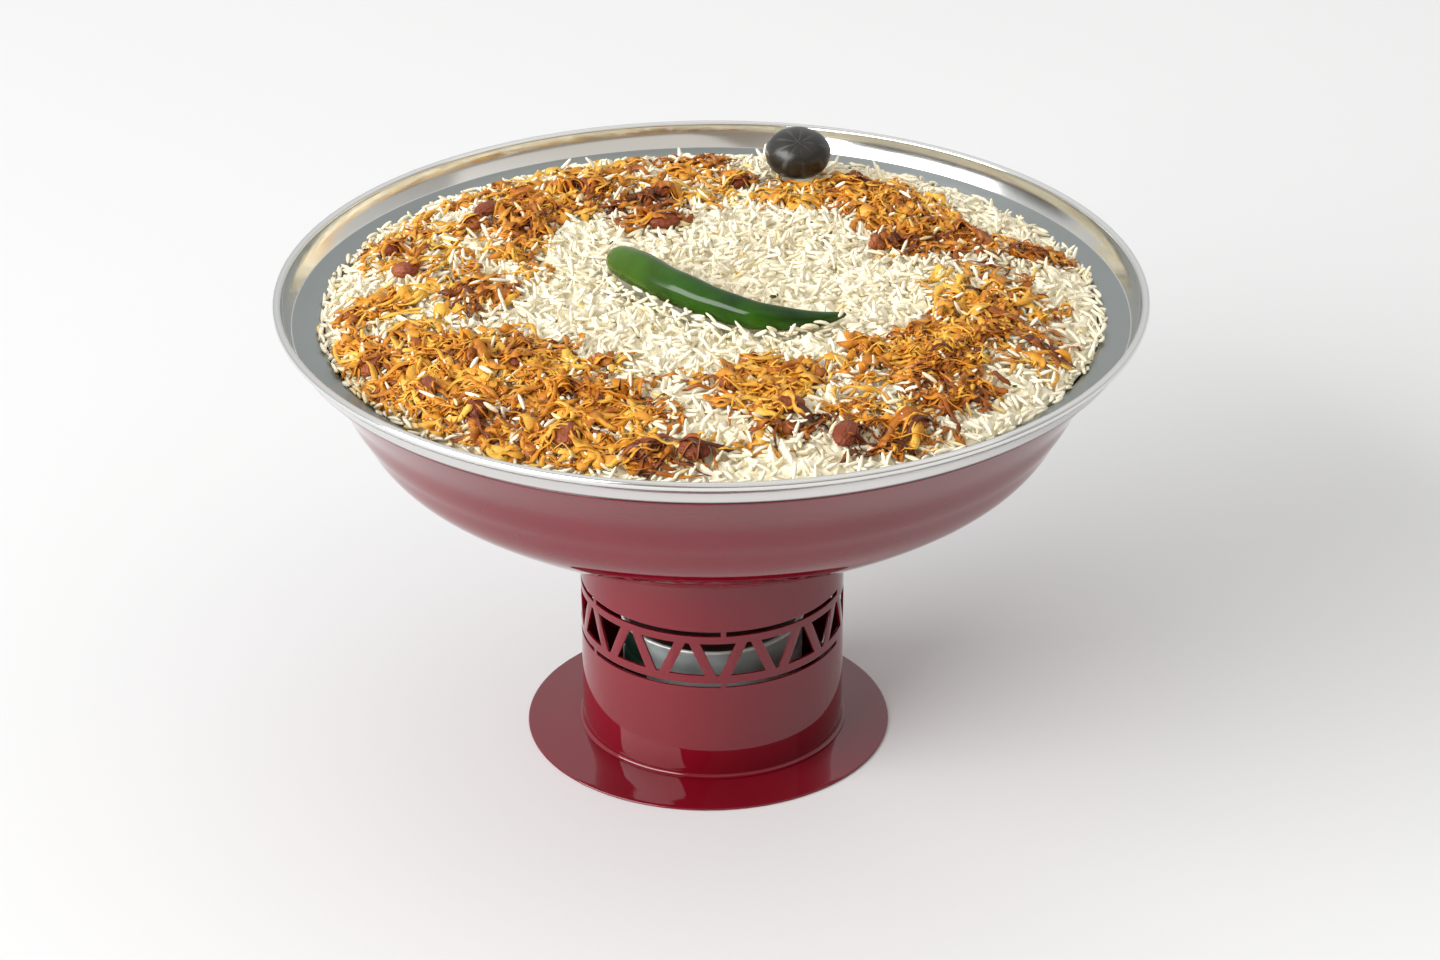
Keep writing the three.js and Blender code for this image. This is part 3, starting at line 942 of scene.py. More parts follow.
@dataclass
class Studio:
    """The pale floor, the soft lights and the camera at the photograph's angle."""

    camera_place: Point3 = (0.0, -1605.4, 958.5)
    camera_down: float = 27.347
    camera_roll: float = -0.0038
    lens: float = 96.25
    sensor: float = 36.0
    shift: float = 0.0057
    farthest: float = 60.0
    floor_reach: float = 9000.0
    horizon: Colour = (0.56, 0.57, 0.575)
    zenith: Colour = (0.97, 0.97, 0.975)
    room: Colour = (0.30, 0.26, 0.21)
    room_turn: float = -0.25
    room_edges: Point2 = (0.3, -0.8)
    lights: tuple[Softbox, ...] = (
        Softbox("key", (-5240, -3270, 3290), 7000, 3700, 680.0),
        Softbox("fill", (2310, -2760, 4290), 8000, 6000, 62.0),
    )

    def build(self, groups: Groups) -> None:
        """Make the camera, the floor, the surroundings and the lights.

        Args:
            groups: The shared node groups.
        """
        bpy.context.scene.view_settings.view_transform = "Standard"
        bpy.context.scene.view_settings.look = "None"
        self.camera()
        floor = new_primitive("floor", bpy.ops.mesh.primitive_plane_add, size=2 * self.floor_reach * MM)
        floor.data.materials.append(Table("table", 0.6).build(groups))
        self.world()
        for light in self.lights:
            light.build()

    def camera(self) -> None:
        """Make the camera."""
        data = bpy.data.cameras.new("camera")
        data.lens = self.lens
        data.sensor_width = self.sensor
        data.shift_x = self.shift
        data.clip_end = self.farthest
        camera = bpy.data.objects.new("camera", data)
        bpy.context.scene.collection.objects.link(camera)
        tilt = Matrix.Rotation(math.radians(90 - self.camera_down), 4, "X")
        roll = Matrix.Rotation(self.camera_roll, 4, "Z")
        camera.matrix_world = Matrix.Translation(Vector(self.camera_place) * MM) @ tilt @ roll
        bpy.context.scene.camera = camera

    def world(self) -> None:
        """Make the even surroundings, lighter overhead than at the horizon and dimmer in front."""
        world = bpy.data.worlds.new("surroundings")
        bpy.context.scene.world = world
        world.use_nodes = True
        graph = Graph(world.node_tree)
        right, back, up = graph.parts(graph.coordinates("Generated"))
        shade = graph.mix(graph.ramp(up, 0.0, 1.0), self.horizon, self.zenith)
        front = graph.ramp(graph.math("MULTIPLY_ADD", right, self.room_turn, back), *self.room_edges)
        graph.join(graph.mix(front, shade, self.room), world.node_tree.nodes["Background"].inputs["Color"])


# ---------------------------------------------------------------------------------------------- the stand
@dataclass
class Stand:
    """The red enamelled base disc, pierced stem and bowl, and the fuel tin inside the stem."""

    sheet: float = 1.2
    gap: float = 0.3
    sides: int = 288
    base_radius: float = 87.0
    base_rim: float = 1.2
    base_flat: float = 70.0
    base_slope: tuple[Point2, ...] = ((77.0, 2.0), (66.5, 3.1))
    base_middle: float = 3.4
    base_shift: float = -2.1
    stem_radius: float = 62.5
    stem_top: float = 107.0
    stem_rings: tuple[float, ...] = (20.0, 36.0, 48.0, 51.0, 55.0, 57.4, 76.2, 78.0, 82.2, 86.0, 96.0)
    stem_edge: float = 0.22
    weld: float = 1.5
    weld_lip: Point2 = (0.6, 0.8)
    weld_sunk: Point2 = (0.2, 0.6)
    windows: int = 13
    window_pitch: float = 26.6
    window_first: float = 2.4
    window_low: float = 58.2
    window_high: float = 75.1
    window_wide: float = 16.8
    window_narrow: float = 1.8
    bridge_pitch: float = 66.5
    bridge: float = 2.3
    slot_end: float = 171.0
    slot_step: float = 2.5
    slots: tuple[Point2, ...] = ((51.8, 54.1), (78.8, 81.4))
    tab_angles: tuple[float, ...] = (-145.0, -83.0, -35.0, 35.0, 83.0, 145.0)
    tab_size: Point3 = (6.0, 1.6, 1.4)
    tab_proud: float = 0.1
    tab_lowered: float = 0.75
    tab_edge: float = 0.5
    bowl_outline: tuple[Point2, ...] = (
        (62.5, 107.5), (108, 129.3), (151.5, 157.5), (167, 179), (176, 196), (190.3, 214.8)
    )
    tin_sides: int = 160
    tin_radius: float = 43.0
    tin_rim: float = 44.0
    tin_roll: float = 0.9
    tin_top: float = 60.0
    tin_recess: float = 3.5
    tin_beads: Point2 = (14.0, 44.0)
    bead_depth: float = 0.5
    bead_step: float = 0.35

    def build(self, groups: Groups) -> None:
        """Make and dress every part of the stand.

        Args:
            groups: The shared node groups.
        """
        enamel = Enamel("baked_enamel", 0.035).build(groups)
        hand_in(self.base(), enamel, ["base_disc"])
        hand_in(self.weld_bead(), enamel)
        hand_in(self.stem(), enamel, ["stem_tube"])
        hand_in(self.bowl(), enamel, ["outer_bowl"])
        hand_in(self.tabs(), enamel)
        hand_in(self.tin(), Tinplate("dull_tinplate", 0.30).build(groups), ["fuel_tin"])

    def base(self) -> bpy.types.Object:
        """Turn the slightly domed base disc with its rounded edge."""
        half = self.base_rim / 2
        edge = arc((self.base_radius - half, half), half, -90, 90, 8)
        dome = spline([edge[-1], *self.base_slope, (self.stem_radius, self.base_middle)], 5)
        profile = [(0, 0), (self.base_flat, 0), *edge, *dome[1:], (0, self.base_middle)]
        disc = turned("base_plate", profile, self.sides)
        disc.location.x = self.base_shift * MM
        settle(disc)
        smooth(disc, 30)
        return disc

    def weld_bead(self) -> bpy.types.Object:
        """Turn the little fillet where the stem meets the disc."""
        foot = self.base_middle - self.weld_sunk[1]
        outside = self.stem_radius - self.weld_sunk[0]
        across, top = outside + self.weld + self.weld_lip[0], foot + self.weld + self.weld_lip[1]
        hollow = arc((across, top), self.weld, 180, 270, 6)
        profile = [(outside, foot), *reversed(hollow), (outside, top), (outside, foot)]
        bead = turned("foot_weld", profile, self.sides)
        smooth(bead, 50)
        return bead

    def window_cutter(self, angle: float, wide_at_top: bool) -> bpy.types.Object:
        """Shape one cutter from a cube: a tapered block across the wall of the stem.

        Args:
            angle: Direction of the window, in degrees from the front.
            wide_at_top: Whether the wide end is the upper one.

        Returns:
            The cutter.
        """
        height = self.window_high - self.window_low
        middle = (self.window_high + self.window_low) / 2
        cutter = new_primitive("window", bpy.ops.mesh.primitive_cube_add, size=1)
        cutter.scale = (1, 8 * self.sheet * MM, height * MM)
        settle(cutter)
        top, bottom = (self.window_wide, self.window_narrow)[:: 1 if wide_at_top else -1]
        places = read_vertices(cutter)
        places[:, 0] = np.sign(places[:, 0]) * np.where(places[:, 2] > 0, top, bottom) / 2
        write_vertices(cutter, places)
        cutter.location = (0, -self.stem_radius * MM, middle * MM)
        settle(cutter)
        cutter.rotation_euler.z = math.radians(angle)
        settle(cutter)
        return cutter

    def slot_cutter(self, start: float, end: float, heights: Point2) -> bpy.types.Object:
        """Spin one cutter for a curved slot.

        Args:
            start: First direction, in degrees from the front.
            end: Last direction.
            heights: Lower and upper edge.

        Returns:
            The cutter.
        """
        low, high = heights
        inside, outside = self.stem_radius - 4 * self.sheet, self.stem_radius + 4 * self.sheet
        cutter = new_primitive("slot", bpy.ops.mesh.primitive_plane_add, size=1)
        corners = np.array([(inside, 0, low), (outside, 0, low), (inside, 0, high), (outside, 0, high)])
        write_vertices(cutter, corners)
        cutter.rotation_euler.z = math.radians(start - 90)
        settle(cutter)
        bpy.ops.object.mode_set(mode="EDIT")
        spin_edited(max(2, round((end - start) / self.slot_step)), math.radians(end - start))
        return cutter

    def slot_spans(self) -> list[Point2]:
        """Return the ends of the slots in one ring, from bridge to bridge, short of the seam at the back."""
        bridges = [self.window_first + i * self.bridge_pitch for i in range(-2, 3)]
        starts = [-self.slot_end, *(angle + self.bridge / 2 for angle in bridges)]
        ends = [*(angle - self.bridge / 2 for angle in bridges), self.slot_end]
        return list(zip(starts, ends))

    def stem(self) -> bpy.types.Object:
        """Turn the stem and cut the zigzag of windows and the two rings of slots through it."""
        bottom, top = self.base_middle + self.gap, self.stem_top
        outside, inside = self.stem_radius, self.stem_radius - self.sheet
        outer = [(outside, z) for z in (bottom, *self.stem_rings, top)]
        tube = turned("pierced_stem", [(inside, bottom), *outer, (inside, top), (inside, bottom)], self.sides)
        cutters = []
        half = (self.windows - 1) // 2
        for i in range(-half, half + 1):
            angle = self.window_first + i * self.window_pitch
            cutters.append(self.window_cutter(angle, True))
            if i < half:
                cutters.append(self.window_cutter(angle + self.window_pitch / 2, False))
        for heights in self.slots:
            cutters += [self.slot_cutter(start, end, heights) for start, end in self.slot_spans()]
        cutter = joined("cutters", cutters)
        apply_modifier(tube, "BOOLEAN", object=cutter, operation="DIFFERENCE", solver="EXACT", use_self=True)
        bpy.data.objects.remove(cutter)
        edge = {"width": self.stem_edge * MM, "segments": 2, "limit_method": "ANGLE", "angle_limit": 0.9}
        apply_modifier(tube, "BEVEL", **edge)
        smooth(tube, 30)
        return tube

    def tabs(self) -> bpy.types.Object:
        """Shape the small welded tabs between the stem and the bowl, each a rounded block."""
        made = []
        out, height = self.stem_radius + self.tab_proud, self.stem_top - self.tab_lowered
        for i, angle in enumerate(self.tab_angles):
            tab = new_primitive(f"tab_{i}", bpy.ops.mesh.primitive_cube_add, size=1)
            tab.scale = [size * MM for size in self.tab_size]
            settle(tab)
            apply_modifier(tab, "BEVEL", width=self.tab_edge * MM, segments=3)
            tab.location = (0, -out * MM, height * MM)
            settle(tab)
            tab.rotation_euler.z = math.radians(angle)
            settle(tab)
            made.append(tab)
        tabs = joined("stem_tabs", made)
        smooth(tabs, 40)
        return tabs

    def bowl(self) -> bpy.types.Object:
        """Turn the thin bowl with its rounded lip and closed bottom."""
        bottom = self.stem_top + self.gap
        outside = spline(self.bowl_outline, 14)
        inside = offset(outside, self.sheet)
        lip_middle = tuple((a + b) / 2 for a, b in zip(outside[-1], inside[-1]))
        lip = arc(lip_middle, self.sheet / 2, -40, 140, 6)
        under = [(0, bottom), (self.stem_radius - 1, bottom)]
        profile = [*under, *outside[:-1], *lip, *reversed(inside[:-1]), (0, bottom + self.sheet)]
        bowl = turned("warming_bowl", profile, self.sides)
        smooth(bowl, 35)
        return bowl

    def tin(self) -> bpy.types.Object:
        """Turn the fuel tin with its beads, rolled rim and sunken lid."""
        bottom, side, roll = self.base_middle + self.gap, self.tin_radius, self.tin_roll
        mouth, floor = self.tin_rim - 3, self.tin_top - self.tin_recess
        foot = [(0, bottom), (side - 0.8, bottom), (side, bottom + 0.8)]
        beads = [
            (side - self.bead_depth * math.sin(math.pi * i / 6), low + i * self.bead_step)
            for low in self.tin_beads
            for i in range(7)
        ]
        rim = [(side, self.tin_top - 3), *arc((self.tin_rim - roll, self.tin_top - roll), roll, -40, 160, 8)]
        well = [(mouth, self.tin_top - 1), (mouth - 0.3, floor + 0.4), (mouth - 1, floor), (30, floor)]
        lid = [(29, floor + 0.8), (18, floor + 0.8), (17, floor + 0.2), (0, floor + 0.2)]
        tin = turned("fuel_can", [*foot, *beads, *rim, *well, *lid], self.tin_sides)
        smooth(tin, 40)
        return tin


# ---------------------------------------------------------------------------------------------- the dish
@dataclass
class Dish:
    """The aluminium dish: a deep body, a flat satin ledge, a flared band and a rolled bead."""

    sheet: float = 1.2
    sides: int = 360
    rim_radius: float = 199.95
    rim_top: float = 229.3
    bead: float = 1.95
    flat: float = 80.0
    ledge: tuple[Point2, ...] = (
        (178.4, 215.6), (180.5, 216.6), (181.3, 216.66), (190.5, 217.35), (191.2, 217.4), (191.9, 217.7)
    )
    flare: tuple[Point2, ...] = ((192.3, 218.4), (194.4, 222.2))

    def build(self, groups: Groups) -> None:
        """Make and dress the dish.

        Args:
            groups: The shared node groups.
        """
        floor = DISH_WALL[0][1]
        inside = [(0, floor), (self.flat, floor), *spline(DISH_WALL, 8), *self.ledge, *self.flare]
        roll = arc((self.rim_radius - self.bead, self.rim_top - self.bead), self.bead, 195, -75, 20)
        profile = [*inside, *roll, *reversed(offset(inside, -self.sheet))]
        dish = turned("serving_dish", profile, self.sides)
        smooth(dish, 35)
        hand_in(dish, Aluminium("spun_aluminium", 0.13).build(groups), ["dish"])


# ---------------------------------------------------------------------------------------------- the food
class Relief:
    """A height map of the heap, on which grains and shreds come to rest.

    Attributes:
        cell: Side of a cell in millimetres.
        reach: Half the width of the map.
        count: Number of cells on a side.
        x: Place of each cell's middle.
        y: Place of each cell's middle.
        bare: Height of the bare heap in each cell.
        heights: Height of the surface in each cell.
        crowns: The cells on top of raisins, which stay mostly bare.
    """

    def __init__(self, sink: float) -> None:
        """Start from the bare heap, lowered a little, less so towards its edge.

        Args:
            sink: How far the middle is lowered.
        """
        self.cell = 1.0
        self.reach = 200.0
        self.count = int(2 * self.reach / self.cell)
        axis = (np.arange(self.count) + 0.5) * self.cell - self.reach
        self.x, self.y = np.meshgrid(axis, axis, indexing="ij")
        self.bare = HEAP.height(self.x, self.y)
        far = np.hypot(self.x, self.y)
        dish = np.interp(far, *zip(*DISH_EDGE))
        lowered = sink * (1 - 0.62 * np.clip((far - 158) / 16, 0, 1))
        self.heights = np.where(far < 176, self.bare - lowered, dish)
        self.crowns = np.zeros_like(self.heights, bool)

    def cells(self, x: np.ndarray, y: np.ndarray) -> tuple[np.ndarray, np.ndarray]:
        """Return the cells that places fall in."""
        i, j = (np.asarray((place + self.reach) / self.cell).astype(int) for place in (x, y))
        return np.minimum(np.maximum(i, 0), self.count - 1), np.minimum(np.maximum(j, 0), self.count - 1)

    def smooth_at(self, x: np.ndarray, y: np.ndarray) -> np.ndarray:
        """Return the height between cells, for the vertices of a fine mesh.

        Args:
            x: Places to the right of the middle.
            y: Places behind the middle.

        Returns:
            The heights.
        """
        u, v = (np.clip((place + self.reach) / self.cell - 0.5, 0, self.count - 1.001) for place in (x, y))
        i, j = u.astype(int), v.astype(int)
        fx, fy = u - i, v - j
        h = self.heights
        low = h[i, j] * (1 - fx) + h[i + 1, j] * fx
        high = h[i, j + 1] * (1 - fx) + h[i + 1, j + 1] * fx
        return low * (1 - fy) + high * fy

    def raise_to(self, x: np.ndarray, y: np.ndarray, z: np.ndarray) -> None:
        """Raise the surface under places to the given heights, where they are higher."""
        np.maximum.at(self.heights, self.cells(x, y), z)

    def raise_all(self, where: np.ndarray, heights: np.ndarray) -> None:
        """Raise the cells of a mask to the given heights, where they are higher."""
        self.heights = np.where(where, np.maximum(self.heights, heights), self.heights)


class Hue(Enum):
    """How far a drift of onion is fried, as the mean of its browning."""

    GOLD = 0.10
    AMBER = 0.30
    BROWN = 0.55
    DARK = 0.80


@dataclass(frozen=True)
class Drift:
    """A patch of fried onion on the rice.

    Attributes:
        x: Place of its middle.
        y: Place of its middle.
        long: Half its length.
        short: Half its width.
        turn: Direction of its length in degrees.
        hue: How far it is fried.
        density: How closely its shreds lie, about 1 where they cover the rice.
    """

    x: float
    y: float
    long: float
    short: float
    turn: float
    hue: Hue
    density: float = 1.0

    @property
    def amount(self) -> float:
        """The area in square millimetres that its onion would cover."""
        return math.pi * self.long * self.short * self.density**1.6

    def share(self, x: np.ndarray, y: np.ndarray) -> np.ndarray:
        """Return 0 in the middle, 1 on the edge and more outside."""
        u, v = turn_axes(x - self.x, y - self.y, self.turn)
        return np.hypot(u / self.long, v / self.short)


DRIFTS = (
    Drift(-135, 62, 28, 8, 5, Hue.AMBER, 0.9),
    Drift(-150, 42, 18, 10, 60, Hue.AMBER, 0.7),
    Drift(-146, 70, 24, 7, 62, Hue.AMBER, 0.7),
    Drift(-110, 112, 26, 8, 40, Hue.AMBER, 0.9),
    Drift(-62, 142, 26, 8, 16, Hue.GOLD, 0.8),
    Drift(-14, 150, 26, 8, 2, Hue.BROWN, 0.8),
    Drift(-162, -30, 16, 8, 80, Hue.AMBER, 0.8),
    Drift(-160, -66, 18, 8, -72, Hue.AMBER, 1.2),
    Drift(-100, -142, 22, 8, -34, Hue.AMBER, 1.1),
    Drift(-122, 38, 20, 18, 20, Hue.GOLD, 0.55),
    Drift(-138, 12, 22, 14, 80, Hue.AMBER, 0.45),
    Drift(-118, 2, 22, 12, 30, Hue.AMBER, 0.6),
    Drift(-104, -16, 17, 14, 70, Hue.BROWN, 1.0),
    Drift(-150, -16, 18, 11, 10, Hue.AMBER, 1.1),
    Drift(-128, -38, 24, 10, -10, Hue.GOLD, 0.4),
    Drift(-132, -62, 30, 14, -20, Hue.AMBER, 1.1),
    Drift(-105, -72, 26, 18, 20, Hue.AMBER, 1.1),
    Drift(-76, -76, 16, 12, 15, Hue.BROWN, 1.0),
    Drift(-60, -92, 22, 12, 5, Hue.GOLD, 0.9),
    Drift(-118, -100, 26, 17, -35, Hue.AMBER, 1.2),
    Drift(-146, -88, 20, 12, -60, Hue.AMBER, 1.2),
    Drift(-126, -116, 22, 10, -45, Hue.AMBER, 1.2),
    Drift(-84, -106, 24, 17, -20, Hue.AMBER, 1.2),
    Drift(-54, -114, 20, 13, 0, Hue.BROWN, 0.9),
    Drift(-34, -124, 26, 12, -10, Hue.BROWN, 0.7),
    Drift(-86, -134, 24, 11, -30, Hue.BROWN, 0.9),
    Drift(-58, -138, 22, 13, 10, Hue.AMBER, 1.2),
    Drift(-72, -154, 18, 9, -20, Hue.AMBER, 1.1),
    Drift(-30, -138, 16, 10, 10, Hue.AMBER, 0.9),
    Drift(-12, -104, 24, 8, 10, Hue.AMBER, 0.45),
    Drift(-44, -158, 26, 9, -8, Hue.AMBER, 1.1),
    Drift(-18, -164, 19, 8, 0, Hue.DARK, 1.2),
    Drift(24, -104, 15, 20, 10, Hue.AMBER, 1.4),
    Drift(20, -124, 18, 11, -20, Hue.AMBER, 1.2),
    Drift(44, -96, 20, 9, 15, Hue.AMBER, 0.9),
    Drift(52, -118, 24, 9, 5, Hue.GOLD, 0.45),
    Drift(22, -152, 26, 10, 0, Hue.AMBER, 0.35),
    Drift(38, -140, 15, 8, 15, Hue.DARK, 0.9),
    Drift(74, -128, 22, 10, 10, Hue.AMBER, 0.9),
    Drift(88, -144, 20, 9, 25, Hue.BROWN, 1.1),
    Drift(62, -150, 13, 8, 40, Hue.DARK, 0.7),
    Drift(78, -76, 19, 10, -20, Hue.AMBER, 1.2),
    Drift(104, -66, 22, 18, 40, Hue.AMBER, 1.3),
    Drift(84, -92, 22, 12, 20, Hue.AMBER, 0.9),
    Drift(104, -102, 22, 17, 50, Hue.BROWN, 1.2),
    Drift(118, -44, 24, 16, 60, Hue.AMBER, 1.3),
    Drift(128, -20, 22, 14, 20, Hue.AMBER, 1.1),
    Drift(144, -54, 22, 9, -30, Hue.BROWN, 0.7),
    Drift(136, -76, 20, 9, 15, Hue.AMBER, 0.6),
    Drift(150, -22, 12, 10, 60, Hue.AMBER, 0.6),
    Drift(112, 2, 18, 14, 60, Hue.GOLD, 0.6),
    Drift(140, 8, 18, 11, 0, Hue.BROWN, 0.35),
    Drift(124, 28, 16, 9, 20, Hue.DARK, 0.45),
    Drift(148, 42, 22, 10, -20, Hue.BROWN, 1.0),
    Drift(108, 46, 20, 14, 10, Hue.BROWN, 1.3),
    Drift(88, 34, 13, 9, 30, Hue.BROWN, 0.8),
    Drift(94, 72, 22, 19, 80, Hue.AMBER, 1.4),
    Drift(80, 96, 22, 17, 70, Hue.AMBER, 1.4),
    Drift(54, 100, 22, 14, 0, Hue.AMBER, 1.1),
    Drift(32, 92, 14, 9, 10, Hue.GOLD, 0.8),
    Drift(60, 122, 18, 9, -15, Hue.BROWN, 1.1),
    Drift(98, 104, 18, 10, -50, Hue.AMBER, 0.8),
    Drift(16, 118, 13, 9, 70, Hue.BROWN, 0.8),
    Drift(-4, 128, 18, 12, 10, Hue.AMBER, 1.0),
    Drift(-4, 100, 24, 13, 20, Hue.GOLD, 0.6),
    Drift(-30, 88, 17, 14, 60, Hue.DARK, 0.9),
    Drift(-24, 68, 17, 9, 10, Hue.BROWN, 0.8),
    Drift(-48, 122, 24, 11, 5, Hue.AMBER, 0.7),
    Drift(-56, 96, 20, 13, 30, Hue.BROWN, 0.9),
    Drift(-70, 84, 16, 14, 60, Hue.AMBER, 0.8),
    Drift(-86, 100, 19, 16, 60, Hue.AMBER, 1.3),
    Drift(-84, 72, 20, 14, 70, Hue.BROWN, 1.2),
    Drift(-86, 42, 20, 12, 80, Hue.AMBER, 1.0),
    Drift(-108, 58, 18, 7, 0, Hue.BROWN, 0.7),
    Drift(-84, 12, 18, 8, -60, Hue.GOLD, 0.5),
)


def onion_cover(x: np.ndarray, y: np.ndarray) -> np.ndarray:
    """Return how thickly the onion lies at places, from 0 to about 1.4."""
    cover = np.zeros_like(x)
    for drift in DRIFTS:
        cover = np.maximum(cover, drift.density * np.clip(1.35 - drift.share(x, y), 0, 1))
    return cover


@dataclass
class Chilli:
    """The green chilli: a bent tapering pod that lies on the rice."""

    path: tuple[Point3, ...] = (
        (-46, 13, 7.4), (-30, -9.4, 9.6), (-14, -28, 9.3), (11.9, -49, 8.2), (29.7, -54, 7), (46.2, -52, 5.4),
        (60.5, -43.4, 4),
    )
    radii: tuple[Point2, ...] = (
        (0, 0.4), (0.012, 3.4), (0.03, 5.4), (0.06, 7.0), (0.10, 7.9), (0.17, 8.4), (0.38, 8.0), (0.62, 6.8),
        (0.76, 5.5), (0.88, 3.7), (0.96, 2.0), (0.99, 1.2), (1, 0.3),
    )
    around: int = 56
    along: int = 150

    def middle_line(self) -> np.ndarray:
        """Return the points of the middle line, one for each ring."""
        line = np.array(spline([(x, y, float(HEAP.height(x, y)) + lift) for x, y, lift in self.path], 40))
        length = np.concatenate([[0], np.cumsum(np.linalg.norm(np.diff(line, axis=0), axis=1))])
        wanted = np.linspace(0, length[-1], self.along + 1)
        return np.stack([np.interp(wanted, length, line[:, k]) for k in range(3)], axis=1)

    def radius_at(self, share: np.ndarray | float) -> np.ndarray:
        """Return the pod's radius at a share of its length."""
        return np.interp(share, *zip(*self.radii))

    def between_rings(self, rows: np.ndarray, share: np.ndarray) -> np.ndarray:
        """Return vectors that are known at each ring, at any share of the length.

        Args:
            rows: One vector for each ring.
            share: The shares of the length.

        Returns:
            One vector for each share.
        """
        index = np.clip(share * self.along, 0, self.along)
        return np.stack([np.interp(index, np.arange(self.along + 1), rows[:, k]) for k in range(3)], axis=1)

    def build(self, groups: Groups) -> None:
        """Sweep the pod along its line, with shallow lengthwise furrows, and dress it.

        Args:
            groups: The shared node groups.
        """
        counts = {"segments": self.around, "ring_count": self.along}
        pod = new_primitive("chilli_pod", bpy.ops.mesh.primitive_uv_sphere_add, **counts, radius=MM)
        places = read_vertices(pod)
        share = np.arccos(np.clip(places[:, 2], -1, 1)) / math.pi
        angle = np.arctan2(places[:, 1], places[:, 0])
        furrow = 1 + 0.030 * np.cos(3 * angle + 2.5 * share + 0.4) + 0.018 * np.cos(5 * angle - 4 * share)
        ripple = 1 + 0.020 * np.sin(31 * share + 1.3 * np.sin(angle)) * np.sin(math.pi * share)
        radius = self.radius_at(share) * furrow * ripple
        line = self.middle_line()
        heading = normalised(self.between_rings(np.gradient(line, axis=0), share))
        side = normalised(np.cross(heading, (0, 0, 1)))
        around = np.cos(angle)[:, None] * side + np.sin(angle)[:, None] * np.cross(side, heading)
        write_vertices(pod, self.between_rings(line, share) + radius[:, None] * around)
        bpy.ops.object.mode_set(mode="EDIT")
        bpy.ops.mesh.select_all(action="SELECT")
        bpy.ops.mesh.normals_make_consistent(inside=False)
        bpy.ops.object.mode_set(mode="OBJECT")
        add_attribute(pod, "along", share)
        # the lower side, which the skin paints lighter and yellower as painted light
        add_attribute(pod, "under", np.clip(-np.sin(angle), 0, 1))
        smooth(pod, 60)
        hand_in(pod, ChilliSkin("chilli_skin", 0.16).build(groups), ["green_chilli"])

    def mark(self, relief: Relief) -> None:
        """Raise the height map over the pod, so that grains can lean on its sides.

        Args:
            relief: The height map.
        """
        line = self.middle_line()
        for (x, y, z), reach in zip(line, self.radius_at(np.linspace(0, 1, len(line)))):
            away = np.hypot(relief.x - x, relief.y - y)
            relief.raise_all(away < reach, z + np.sqrt(np.clip(reach**2 - away**2, 0, None)))

    def foot(self, share: float, side: float) -> Point2:
        """Return a place beside the pod.

        Args:
            share: How far along the pod.
            side: How many times the pod's radius to the side, to the right of its direction where positive.

        Returns:
            The place.
        """
        line = self.middle_line()
        i = min(int(share * self.along), self.along - 1)
        (x0, y0, _), (x1, y1, _) = line[i], line[i + 1]
        reach = side * float(self.radius_at(share)) / math.hypot(x1 - x0, y1 - y0)
        return x0 + (y1 - y0) * reach, y0 - (x1 - x0) * reach

    def distance(self, x: np.ndarray, y: np.ndarray) -> np.ndarray:
        """Return how far places are from the side of the pod, below zero under it.

        Args:
            x: Places to the right of the middle.
            y: Places behind the middle.

        Returns:
            The distances.
        """
        line = self.middle_line()[::5]
        radius = self.radius_at(np.linspace(0, 1, len(line)))
        return (np.hypot(x[..., None] - line[:, 0], y[..., None] - line[:, 1]) - radius).min(axis=-1)


@dataclass
class DriedLime:
    """The dried black lime that stands at the back."""

    x: float = 42.4
    y: float = 127.0
    rests_y: float = 121.6
    radius: float = 16.2
    half_height: float = 12.4
    lift: float = 13.0
    lean: float = 38.0
    lines: int = 9

    def build(self, groups: Groups) -> None:
        """Shape the ball with faint furrows from pole to pole and a small stalk scar, and dress it.

        Args:
            groups: The shared node groups.
        """
        ball = new_primitive(
            "dried_lime", bpy.ops.mesh.primitive_uv_sphere_add, segments=96, ring_count=64, radius=MM
        )
        places = read_vertices(ball)
        angle = np.arctan2(places[:, 1], places[:, 0])
        tilt = np.arccos(np.clip(places[:, 2], -1, 1))
        furrow = np.abs(np.cos(self.lines / 2 * angle)) ** 8
        scar = np.exp(-((tilt / 0.22) ** 2)) - 0.7 * np.exp(-((tilt / 0.10) ** 2))
        swell = 1 - 0.018 * (1 - furrow) * np.sin(tilt) - 0.012 * furrow - 0.05 * scar
        swell += 0.012 * np.sin(3 * angle + 1) * np.sin(2 * tilt)
        swell += 0.008 * np.sin(7 * angle) * np.sin(5 * tilt)
        size = (self.radius, self.radius, self.half_height)
        middle = (self.x, self.y, float(HEAP.height(self.x, self.rests_y)) + self.lift)
        lean = np.array(Matrix.Rotation(math.radians(self.lean), 3, "X"))
        write_vertices(ball, (places * np.minimum(swell, 1.0)[:, None]) @ lean.T * size + middle)
        add_attribute(ball, "line", furrow)
        smooth(ball, 60)
        hand_in(ball, LimeRind("lime_rind", 0.30).build(groups), ["black_lime"])

    def distance(self, x: np.ndarray, y: np.ndarray) -> np.ndarray:
        """Return how far places are from its axis, in radii."""
        return np.hypot(x - self.x, y - self.y) / self.radius


class Raisin(NamedTuple):
    """One raisin.

    Attributes:
        x: Place of its middle.
        y: Place of its middle.
        long: Its length.
        short: Its width.
        turn: Direction of its length in degrees.
    """

    x: float
    y: float
    long: float
    short: float
    turn: float


